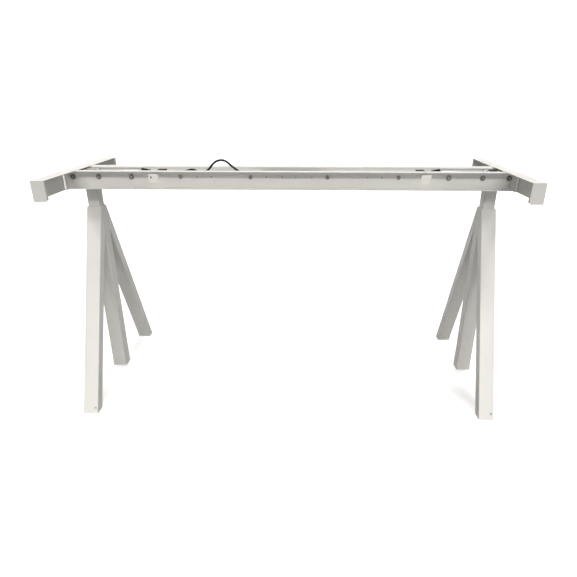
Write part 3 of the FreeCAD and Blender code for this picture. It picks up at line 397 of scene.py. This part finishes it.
def cable_jacket():
    """Black PVC: smooth, faintly drawn along its length, dusty in places."""
    recipe = Recipe("black_pvc")
    colour = recipe.ramp(recipe.noise(120.0, 4.0), (0.004, 0.004, 0.004), (0.011, 0.011, 0.01))
    normal = recipe.bump(recipe.noise(400.0, 2.0, stretch=(0.1, 1, 1)), 0.15, 0.0002)
    rough = recipe.span(recipe.noise(80.0, 3.0), 0.45, 0.6)
    return recipe.finish(colour, rough, normal, Specular_IOR_Level=0.25)


def zinc_plate():
    """Zinc-plated steel: mottled grey with fine turning marks."""
    recipe = Recipe("zinc_plate")
    colour = recipe.ramp(recipe.noise(160.0, 5.0), (0.30, 0.30, 0.31), (0.46, 0.455, 0.44))
    normal = recipe.bump(recipe.noise(1200.0, 2.0, stretch=(1, 1, 6)), 0.2, 0.0001)
    rough = recipe.span(recipe.noise(220.0, 4.0), 0.28, 0.48)
    return recipe.finish(colour, rough, normal, Metallic=1.0)


def threaded_steel():
    """The lifting screw's steel: a rolled trapezoidal thread around a ground bar."""
    recipe = Recipe("threaded_steel")
    thread = recipe.node(
        "ShaderNodeTexWave", wave_type="BANDS", bands_direction="Z", Scale=52.0, Distortion=0.0,
    )
    recipe.link(recipe.place, thread.inputs["Vector"])
    # The colour follows the thread: darker in its roots and lighter on its crests, as painted shade and
    # light.
    colour = recipe.ramp(thread.outputs["Fac"], (0.16, 0.155, 0.15), (0.5, 0.49, 0.47))
    normal = recipe.bump(thread.outputs["Fac"], 0.9, 0.0015)
    rough = recipe.span(recipe.noise(300.0, 3.0), 0.2, 0.38)
    return recipe.finish(colour, rough, normal, Metallic=1.0)


def motor_steel():
    """A rolled and lacquered steel can, brushed around its axis."""
    recipe = Recipe("motor_steel")
    colour = recipe.ramp(recipe.noise(90.0, 5.0, stretch=(8, 1, 1)), (0.4, 0.4, 0.43), (0.54, 0.54, 0.57))
    normal = recipe.bump(recipe.noise(500.0, 2.0, stretch=(6, 1, 1)), 0.2, 0.0002)
    rough = recipe.span(recipe.noise(150.0, 3.0), 0.34, 0.5)
    return recipe.finish(colour, rough, normal, Metallic=0.5)


def cast_aluminium():
    """Die-cast aluminium, bead blasted."""
    recipe = Recipe("cast_aluminium")
    colour = recipe.ramp(recipe.noise(60.0, 4.0), (0.42, 0.42, 0.43), (0.55, 0.55, 0.56))
    normal = recipe.bump(recipe.noise(800.0, 4.0, 0.8), 0.5, 0.0003)
    rough = recipe.span(recipe.noise(120.0, 3.0), 0.45, 0.62)
    return recipe.finish(colour, rough, normal, Metallic=0.85)


def bronze():
    """Machined bronze with grease in its marks."""
    recipe = Recipe("bronze")
    colour = recipe.ramp(recipe.noise(110.0, 4.0), (0.36, 0.22, 0.09), (0.58, 0.4, 0.19))
    normal = recipe.bump(recipe.noise(900.0, 2.0, stretch=(1, 1, 8)), 0.2, 0.0002)
    rough = recipe.span(recipe.noise(140.0, 3.0), 0.25, 0.45)
    return recipe.finish(colour, rough, normal, Metallic=1.0)


def dark_bolt():
    """Blackened steel of the bolts, with paler wear on its edges and some oil."""
    recipe = Recipe("dark_bolt")
    colour = recipe.ramp(recipe.noise(260.0, 5.0), (0.12, 0.115, 0.1), (0.24, 0.23, 0.2))
    normal = recipe.bump(recipe.noise(1500.0, 2.0), 0.2, 0.0001)
    rough = recipe.span(recipe.noise(240.0, 4.0), 0.36, 0.55)
    return recipe.finish(colour, rough, normal, Metallic=0.35)


def make_materials():
    return {
        "dark_bolt": dark_bolt(),
        "white_steel": powder_coat("white_powder_coat", 0.8),
        # A lighter copy of the white coat for the legs, as painted light, and a darker copy for the head
        # brackets, as painted shade.
        "painted_light_steel": powder_coat("painted_light_powder_coat", 0.9),
        "painted_shade_steel": powder_coat("painted_shade_powder_coat", 0.55),
        # Grey nylon as painted shade.
        "painted_shade_plastic": painted_shade_plastic(),
        "white_plastic": white_plastic(),
        "black_plastic": black_plastic(),
        "cable_jacket": cable_jacket(),
        "zinc_steel": zinc_plate(),
        "threaded_steel": threaded_steel(),
        "motor_steel": motor_steel(),
        "cast_aluminium": cast_aluminium(),
        "bronze": bronze(),
    }


def dress_cad_nodes(materials):
    """Gives every CAD node its material and softened edges."""
    slots = {row["node"]: row["material_slot"] for row in frame["record"]["subparts"]}
    for name, node in NODES.items():
        look = slots[name]
        for ending, other in OTHER_LOOKS.items():
            if name.endswith(ending):
                look = other
        node.data.materials.clear()
        node.data.materials.append(materials[look])
        soften_edges(node)


def soften_edges(node):
    """Welds the tessellation and rounds its sharp edges by half a millimetre."""
    weld = node.modifiers.new("weld", "WELD")
    weld.merge_threshold = WELD_DISTANCE
    bevel = node.modifiers.new("bevel", "BEVEL")
    bevel.width = EDGE_BEVEL
    bevel.segments = 2
    bevel.limit_method = "ANGLE"
    bevel.angle_limit = EDGE_ANGLE
    bevel.harden_normals = True
    bevel.use_clamp_overlap = True


# --- small details -------------------------------------------------------------------------

def skin(shape, rings, hollow=False):
    """A closed surface over a row of rings. A hollow one joins its last ring to its first."""
    pairs = list(zip(rings, rings[1:]))
    if hollow:
        pairs.append((rings[-1], rings[0]))
    else:
        shape.faces.new(rings[0][::-1])
        shape.faces.new(rings[-1])
    for low, high in pairs:
        count = len(low)
        for step in range(count):
            after = (step + 1) % count
            shape.faces.new((low[step], low[after], high[after], high[step]))


def turned(shape, start, axis, profile, steps=24, hollow=False):
    """Adds a turned solid to a bmesh. The profile's rows are radius, height along the axis, and
    the number of flat sides, or 0 for a round ring."""
    spin = Vector(axis).normalized().to_track_quat("Z", "Y").to_matrix()
    rings = []
    for radius, height, sides in profile:
        ring = []
        for step in range(steps):
            angle = math.tau * step / steps
            reach = radius
            if sides:
                part = math.tau / sides
                reach = radius * math.cos(part / 2) / math.cos(angle % part - part / 2)
            local = Vector((reach * math.cos(angle), reach * math.sin(angle), height))
            ring.append(shape.verts.new(Vector(start) + spin @ local))
        rings.append(ring)
    skin(shape, rings, hollow)


def socket_screw(shape, place, axis, radius, high):
    """A domed screw head with a hexagonal socket, standing on a face."""
    turned(shape, place, axis, [
        (0.96 * radius, -SUNK, 0), (radius, 0.12 * high, 0), (0.97 * radius, 0.45 * high, 0),
        (0.85 * radius, 0.8 * high, 0), (0.66 * radius, high, 0), (0.5 * radius, 0.97 * high, 6),
        (0.46 * radius, 0.9 * high, 6), (0.44 * radius, 0.3 * high, 6),
    ])


def washer(shape, place, axis, inner, outer, thick):
    """A washer with turned edges."""
    edge = 0.25 * thick
    turned(shape, place, axis, [
        (inner, 0, 0), (outer - edge, 0, 0), (outer, edge, 0), (outer, thick - edge, 0),
        (outer - edge, thick, 0), (inner + edge, thick, 0), (inner, thick - edge, 0),
    ], hollow=True)


def bead(shape, start, end, radius, pitch=0.0022, sides=10):
    """A weld bead: overlapping ripples along a straight seam, with tapered ends."""
    start = Vector(start)
    run = Vector(end) - start
    spin = run.normalized().to_track_quat("Z", "Y").to_matrix()
    ripples = max(3, round(run.length / pitch))
    steps = ripples * 4
    rings = []
    for step in range(steps + 1):
        share = step / steps
        taper = min(1, 6 * share + 0.35, 6 * (1 - share) + 0.35)
        ripple = 1 + 0.16 * abs(math.sin(math.pi * share * ripples)) - 0.08
        wander = 0.06 * math.sin(0.7 * step)
        reach = radius * taper * (ripple + wander)
        ring = []
        for side in range(sides):
            angle = math.tau * side / sides
            local = Vector((reach * math.cos(angle), reach * math.sin(angle), run.length * share))
            ring.append(shape.verts.new(start + spin @ local))
        rings.append(ring)
    skin(shape, rings)


def rib(shape, start, end, up, wide, high, sections=8):
    """A rounded rib that stands on a face from start to end, with sloping ends."""
    start = Vector(start)
    run = Vector(end) - start
    up = Vector(up).normalized()
    across = run.normalized().cross(up)
    rows = []
    for share, scale in ((0, 0.2), (0.04, 0.75), (0.12, 1), (0.88, 1), (0.96, 0.75), (1, 0.2)):
        row = []
        for step in range(sections + 1):
            angle = math.pi * step / sections
            aside = across * (math.cos(angle) * wide / 2 * scale)
            above = up * (math.sin(angle) * high * scale)
            row.append(shape.verts.new(start + run * share + aside + above - up * SUNK))
        rows.append(row)
    skin(shape, rows)


def band(shape, low, high, corner, profile, steps=4):
    """A band round an upright box's rounded corners. The profile's rows are how far the band
    stands out and its level."""
    rings = []
    for stand, level in profile:
        reach = corner + stand
        ring = []
        for quarter, (x_way, y_way) in enumerate(((1, 1), (-1, 1), (-1, -1), (1, -1))):
            middle_x = (high.x if x_way > 0 else low.x) - corner * x_way
            middle_y = (high.y if y_way > 0 else low.y) - corner * y_way
            for step in range(steps + 1):
                angle = math.pi / 2 * (quarter + step / steps)
                x = middle_x + reach * math.cos(angle)
                y = middle_y + reach * math.sin(angle)
                ring.append(shape.verts.new((x, y, level)))
        rings.append(ring)
    skin(shape, rings)


def corner_screws(shape, low, high, inset, radius, head):
    """A socket screw near each corner of a box's top."""
    for x in (low.x + inset, high.x - inset):
        for y in (low.y + inset, high.y - inset):
            socket_screw(shape, Vector((x, y, high.z)), (0, 0, 1), radius, head)


def detail(name, body, slot, material, build):
    """A small piece on a CAD body, made by a function that fills a bmesh."""
    piece = new_piece(name, mesh_from(name, build))
    smooth_by_angle(piece.data)
    piece.data.materials.append(material)
    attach(piece, body)


def bolt_places(side):
    """Where a side's bolt heads meet the webs: place, outward direction and kind of bolt."""
    way_x = SIDES[side]
    places = []
    for way in (-1, 1):
        out = Vector((0, way, 0))
        for across in RAIL_BOLTS:
            places.append((Vector((way_x * across, way * WEB_OUTSIDE, HOLE_LEVEL)), out, LARGE_BOLT))
        places.append((Vector((way_x * LOCK_BOLT, way * WEB_OUTSIDE, HOLE_LEVEL)), out, MEDIUM_BOLT))
    return places


def make_bolt_details(side, materials):
    """Washers under the rail bolts' heads, and bright zinc floors in their sockets. A socket has a floor,
    but the floors' brightness is a painted highlight on the dark heads.
    """
    places = bolt_places(side)

    def washers(shape):
        for place, out, bolt in places:
            washer(shape, place, out, *bolt["washer"])

    def highlight_floors(shape):
        for place, out, bolt in places:
            radius = bolt["socket"]
            turned(shape, place + out * (0.5 * bolt["head"]), out, [
                (radius, -0.0003, 6), (radius, 0.0006, 6),
                (0.7 * radius, 0.0012, 6), (0.3 * radius, 0.001, 0),
            ])

    head = side + "_head"
    detail(side + "_bolt_washers", head, "zinc_steel", materials["dark_bolt"], washers)
    detail(side + "_bolt_socket_highlights", head, "zinc_steel", materials["zinc_steel"], highlight_floors)


def make_base_details(side, materials):
    """Weld beads where the legs meet the outer tube, and the screw in the front foot cap."""
    low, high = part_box(side + "_outer_tube")
    middle = (low.x + high.x) / 2
    half = (high.x - low.x) / 2
    stand = high.y + WELD_STAND
    bottom = (LEG_BACK - high.y) / LEG_SLOPE

    def welds(shape):
        first = bottom + SEAM_END_GAP
        last = high.z - SEAM_END_GAP
        for y in (-stand, stand):
            for edge in (-1, 1):
                x = middle + edge * (half - SEAM_INSET)
                bead(shape, (x, y, first), (x, y, last), SEAM_RADIUS)
            left = middle - half + LOWER_WELD_GAP
            right = middle + half - LOWER_WELD_GAP
            bead(shape, (left, y, bottom), (right, y, bottom), LOWER_WELD_RADIUS)

    def screws(shape):
        slope = Vector((0, -1, LEG_SLOPE)).normalized()
        outer = LEG_REACH - LEG_SLOPE * FOOT_SCREW_LEVEL
        place = Vector((middle + FOOT_SCREW_ASIDE, -outer, FOOT_SCREW_LEVEL))
        socket_screw(shape, place, slope, radius=0.0036, high=0.0016)

    base = side + "_base"
    detail(side + "_leg_welds", base, "white_steel", materials["white_steel"], welds)
    detail(side + "_foot_screws", base, "zinc_steel", materials["zinc_steel"], screws)


def make_gearbox_details(side, materials):
    """The gearbox's screws and the flange under its top."""
    low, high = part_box(side + "_gearbox_housing")
    bottom = high.z - FLANGE_DROP
    top = bottom + FLANGE_THICK

    def screws(shape):
        corner_screws(shape, low, high, inset=0.0055, radius=0.0034, head=0.0026)

    def flange(shape):
        band(shape, low, high, FLANGE_CORNER, [
            (0, bottom), (FLANGE_STAND, bottom + FLANGE_EDGE), (FLANGE_STAND, top - FLANGE_EDGE), (0, top),
        ])

    head = side + "_head"
    detail(side + "_gearbox_screws", head, "zinc_steel", materials["dark_bolt"], screws)
    detail(side + "_gearbox_flange", head, "cast_aluminium", materials["cast_aluminium"], flange)


def make_motor_details(side, materials):
    """The motor can's rolled rings, the boot's ribs and the end cap's screws."""
    way = SIDES[side]
    can_low, can_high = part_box(side + "_motor_can")
    cap_low, cap_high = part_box(side + "_motor_cap")
    axis_y = (can_low.y + can_high.y) / 2
    axis_z = (can_low.z + can_high.z) / 2
    radius = (can_high.z - can_low.z) / 2
    inner_end = can_high.x if way < 0 else can_low.x
    outer_end = can_low.x if way < 0 else can_high.x
    boot_end = cap_high.x if way < 0 else cap_low.x

    def rings(shape):
        sunk = radius - 0.0004
        proud = radius + 0.00045
        for start in (inner_end + way * RING_INNER_INSET, outer_end - way * RING_OUTER_INSET):
            turned(shape, (start, axis_y, axis_z), (way, 0, 0), [
                (sunk, 0, 0), (proud - 0.0001, 0.0006, 0), (proud, 0.0016, 0), (proud, 0.0044, 0),
                (proud - 0.0001, 0.0054, 0), (sunk, 0.006, 0),
            ], steps=64)

    def boot_ribs(shape):
        drop = (cap_high.z - BOOT_TIP_LEVEL) / BOOT_LENGTH
        for share in BOOT_RIB_SHARES:
            x = boot_end + way * BOOT_LENGTH * (1 - share)
            z = cap_high.z - drop * BOOT_LENGTH * share
            start = (x, CABLE_ASIDE - BOOT_HALF, z)
            end = (x, CABLE_ASIDE + BOOT_HALF, z)
            rib(shape, start, end, (way * -drop, 0, 1), wide=0.0022, high=0.0011)

    def cap_screws(shape):
        angle = math.radians(CAP_SCREW_TURN)
        across = CAP_SCREW_RING * math.cos(angle)
        above = CAP_SCREW_RING * math.sin(angle)
        for turn in (1, -1):
            place = Vector((inner_end - way * CAP_LENGTH, axis_y + turn * across, axis_z - turn * above))
            socket_screw(shape, place, (-way, 0, 0), radius=0.0026, high=0.002)

    head = side + "_head"
    detail(side + "_motor_rings", head, "motor_steel", materials["motor_steel"], rings)
    detail(side + "_boot_ribs", head, "black_plastic", materials["black_plastic"], boot_ribs)
    detail(side + "_motor_cap_screws", head, "zinc_steel", materials["zinc_steel"], cap_screws)


def make_lid_details(materials):
    """The control box lid's screws and ribs."""
    low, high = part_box("control_box_lid")

    def screws(shape):
        corner_screws(shape, low, high, inset=0.008, radius=0.0032, head=0.0018)

    def ribs(shape):
        for number in range(LID_RIBS):
            x = low.x + LID_RIB_START + LID_RIB_PITCH * number
            start = (x, -LID_RIB_HALF, high.z)
            end = (x, LID_RIB_HALF, high.z)
            rib(shape, start, end, (0, 0, 1), wide=0.0042, high=0.0014)

    detail("lid_screws", "centre", "zinc_steel", materials["dark_bolt"], screws)
    detail("lid_ribs", "centre", "black_plastic", materials["black_plastic"], ribs)


def make_plug_details(materials):
    """The plugs' grips, and the ribbed sleeves where the cables enter them."""
    low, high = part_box("cable_plugs")

    def grips(shape):
        for end, way, aside in ((low.x, -1, LEFT_CABLE[-1][1]), (high.x, 1, RIGHT_CABLE[-1][1])):
            for number in range(GRIPS):
                x = end - way * (GRIP_START + GRIP_PITCH * number)
                for z, up in ((low.z, -1), (high.z, 1)):
                    start = (x, aside - GRIP_HALF, z)
                    rib(shape, start, (x, aside + GRIP_HALF, z), (0, 0, up), wide=0.002, high=0.0006)

    def sleeves(shape):
        profile = [(0.0037, 0, 0)]
        for number in range(SLEEVE_RINGS):
            start = 0.0002 + SLEEVE_PITCH * number
            wide = 0.0056 - 0.00022 * number
            profile += [(wide, start, 0), (wide, start + 0.0013, 0), (wide - 0.0006, start + 0.0016, 0)]
        profile += [(0.0038, SLEEVE_LENGTH, 0), (0.0034, SLEEVE_LENGTH, 0)]
        for points in (LEFT_CABLE, RIGHT_CABLE):
            end = Vector(points[-1])
            away = (Vector(points[-2]) - end).normalized()
            turned(shape, end, away, profile, steps=32, hollow=True)

    detail("plug_grips", "centre", "black_plastic", materials["black_plastic"], grips)
    detail("cable_sleeves", "centre", "black_plastic", materials["black_plastic"], sleeves)


def make_splice_details(materials):
    """Washers under the splice bolts' heads."""

    def washers(shape):
        for x in (-SPLICE_BOLT, SPLICE_BOLT):
            for way in (-1, 1):
                place = Vector((x, way * WEB_OUTSIDE, HOLE_LEVEL))
                washer(shape, place, (0, way, 0), *MEDIUM_BOLT["washer"])

    detail("splice_bolt_washers", "centre", "zinc_steel", materials["dark_bolt"], washers)


def make_hole_shade_plugs(materials):
    """Dished nylon plugs in the empty holes of the rails' webs. Their dish shades them a little, and their
    grey nylon is painted shade for the holes.
    """
    groups = [("centre", "centre", [way * across for way in (-1, 1) for across in CENTRE_PILOTS])]
    for side, way in SIDES.items():
        groups.append((side, side + "_head", [way * across for across in SIDE_PILOTS]))
    for name, body, places in groups:

        def plugs(shape):
            for x in places:
                for way in (-1, 1):
                    turned(shape, (x, way * (WEB_OUTSIDE - PLUG_DEPTH), HOLE_LEVEL), (0, way, 0), [
                        (0.0023, -0.0012, 0), (0.00245, -0.0006, 0), (0.00245, 0.0006, 0),
                        (0.0021, 0.0009, 0), (0.0016, 0.0005, 0), (0.0008, 0.0002, 0),
                    ])

        detail(name + "_hole_shade_plugs", body, "white_plastic", materials["painted_shade_plastic"], plugs)


def make_clip_shade_pin(materials):
    """The dark pin in the left clip's hole, which is painted shade in the hole."""
    low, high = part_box("left_rail_clip")
    place = Vector((low.x + CLIP_SHADE_PIN_ASIDE, low.y + CLIP_SHADE_PIN_DEPTH, high.z - CLIP_SHADE_PIN_DROP))

    def pin(shape):
        turned(shape, place, (0, -1, 0), [
            (0.0012, -0.0012, 0), (0.0021, 0, 0), (0.0026, 0.0014, 0), (0.0026, 0.002, 0),
            (0.002, 0.0025, 0), (0.0009, 0.0027, 0), (0.0006, 0.0018, 0),
        ])

    detail("left_clip_shade_pin", "left_head", "black_plastic", materials["black_plastic"], pin)


def make_saddle_details(side, materials):
    """Fine teeth across the cable saddle's strap."""
    low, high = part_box(side + "_cable_saddle")

    def teeth(shape):
        for number in range(SADDLE_TEETH):
            x = low.x + (high.x - low.x) * (number + 0.5) / SADDLE_TEETH
            start = (x, low.y + SADDLE_FRONT_GAP, high.z)
            end = (x, high.y - SADDLE_REAR_GAP, high.z)
            rib(shape, start, end, (0, 0, 1), wide=0.0016, high=0.0008)

    detail(side + "_saddle_teeth", side + "_head", "black_plastic", materials["black_plastic"], teeth)


def make_end_light_strips(side, materials):
    """Pale strips on the front and rear edges of the end plate. They are painted light: white pieces that
    stand in for the strip of light beside each arm.
    """
    low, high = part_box(side + "_front_rail")
    way = SIDES[side]
    outer_end = high.x if way > 0 else low.x
    x = outer_end - way * END_PLATE / 2

    def strips(shape):
        for y in (-END_PLATE_EDGE, END_PLATE_EDGE):
            start = (x, y, low.z + LIGHT_STRIP_GAP)
            end = (x, y, high.z - LIGHT_STRIP_GAP)
            rib(shape, start, end, (0, y, 0), wide=LIGHT_STRIP_WIDE, high=LIGHT_STRIP_HIGH)

    detail(side + "_end_trims", side + "_head", "white_plastic", materials["white_plastic"], strips)


# --- stage ---------------------------------------------------------------------------------

def make_floor():
    """A plain white infinity cove: a round floor whose edge curves up all the way round."""
    rings = [(radius, 0) for radius in COVE_INNER_RINGS]
    for step in range(COVE_STEPS_UP + 1):
        lean = math.pi / 2 * step / COVE_STEPS_UP
        rings.append((COVE_FLAT + COVE_BEND * math.sin(lean), COVE_BEND * (1 - math.cos(lean))))
    rings.append((COVE_FLAT + COVE_BEND, COVE_TOP))

    def build(shape):
        middle = shape.verts.new((0, 0, 0))
        before = None
        for radius, height in rings:
            row = []
            for step in range(COVE_STEPS_ROUND):
                angle = math.tau * step / COVE_STEPS_ROUND
                row.append(shape.verts.new((radius * math.cos(angle), radius * math.sin(angle), height)))
            for step in range(COVE_STEPS_ROUND):
                after = (step + 1) % COVE_STEPS_ROUND
                if before is None:
                    shape.faces.new((middle, row[step], row[after]))
                else:
                    shape.faces.new((before[step], row[step], row[after], before[after]))
            before = row

    floor = new_piece("floor", mesh_from("floor", build))
    smooth_by_angle(floor.data)
    recipe = Recipe("floor_paint")
    colour = recipe.ramp(recipe.noise(0.8, 3.0), (0.78, 0.78, 0.775), (0.8, 0.8, 0.8))
    recipe.shader.inputs["Emission Color"].default_value = (1, 1, 1, 1)
    floor.data.materials.append(recipe.finish(colour, Roughness=0.9, Emission_Strength=FLOOR_GLOW))
    floor.visible_diffuse = False
    floor.visible_shadow = False


def make_world():
    """Soft light that changes with height, a little warm."""
    world = bpy.data.worlds.new("studio")
    world.use_nodes = True
    nodes = world.node_tree.nodes
    links = world.node_tree.links
    direction = nodes.new("ShaderNodeTexCoord")
    split = nodes.new("ShaderNodeSeparateXYZ")
    share = nodes.new("ShaderNodeMapRange")
    share.inputs["From Min"].default_value = SKY_BOTTOM
    share.inputs["From Max"].default_value = SKY_TOP
    colour = nodes.new("ShaderNodeValToRGB")
    ramp = colour.color_ramp
    ramp.elements[0].position = 0
    ramp.elements[1].position = 1
    ramp.elements.new(-SKY_BOTTOM / (SKY_TOP - SKY_BOTTOM))
    for element, strength in zip(ramp.elements, SKY):
        element.color = (*(strength * part for part in SKY_TINT), 1)
    links.new(direction.outputs["Generated"], split.inputs["Vector"])
    links.new(split.outputs["Z"], share.inputs["Value"])
    links.new(share.outputs["Result"], colour.inputs["Fac"])
    links.new(colour.outputs["Color"], nodes["Background"].inputs["Color"])
    bpy.context.scene.world = world


def make_sun(name, strength, azimuth, elevation, softness):
    """A large soft source far away. Azimuth 0 is in front of the object, and 90 on its +X side."""
    data = bpy.data.lights.new(name, "SUN")
    data.energy = strength
    data.color = SUN_TINT
    data.angle = math.radians(softness)
    lamp = bpy.data.objects.new(name, data)
    turn = math.radians(azimuth)
    tilt = math.radians(elevation)
    towards = Vector((math.sin(turn) * math.cos(tilt), -math.cos(turn) * math.cos(tilt), math.sin(tilt)))
    lamp.rotation_euler = towards.to_track_quat("Z", "Y").to_euler()
    bpy.context.scene.collection.objects.link(lamp)
    return lamp


def collect(name, pieces):
    """A collection of pieces for a light's links."""
    collection = bpy.data.collections.new(name)
    for piece in pieces:
        collection.objects.link(piece)
    return collection


def make_light():
    """The sky and the suns. The white clips cast no shadow, and one sun lights only the left end plate's
    pale strips, which are painted light and which the arm leaves in shade."""
    make_world()
    clips = [NODES[side + "_rail_clip"] for side in SIDES]
    meshes = [piece for piece in bpy.context.scene.objects if piece.type == "MESH"]
    blockers = [piece for piece in meshes if piece not in clips]
    for sun in SUNS:
        lamp = make_sun(*sun)
        lamp.light_linking.blocker_collection = collect(lamp.name + "_blockers", blockers)
    strips = collect("light_strip_receivers", [bpy.data.objects["left_end_trims"]])
    lamp = make_sun(*LIGHT_STRIP_SUN)
    lamp.light_linking.receiver_collection = strips
    lamp.light_linking.blocker_collection = strips
    view = bpy.context.scene.view_settings
    view.view_transform = "Standard"
    view.look = "None"
    view.exposure = 0
    view.gamma = 1


make_camera()
MATERIALS = make_materials()
make_cable("left", LEFT_CABLE, MATERIALS["cable_jacket"])
make_cable("right", RIGHT_CABLE, MATERIALS["cable_jacket"])
dress_cad_nodes(MATERIALS)
for SIDE in SIDES:
    make_bolt_details(SIDE, MATERIALS)
    make_base_details(SIDE, MATERIALS)
    make_gearbox_details(SIDE, MATERIALS)
    make_motor_details(SIDE, MATERIALS)
    make_saddle_details(SIDE, MATERIALS)
    make_end_light_strips(SIDE, MATERIALS)
make_lid_details(MATERIALS)
make_plug_details(MATERIALS)
make_splice_details(MATERIALS)
make_clip_shade_pin(MATERIALS)
make_hole_shade_plugs(MATERIALS)
make_floor()
make_light()
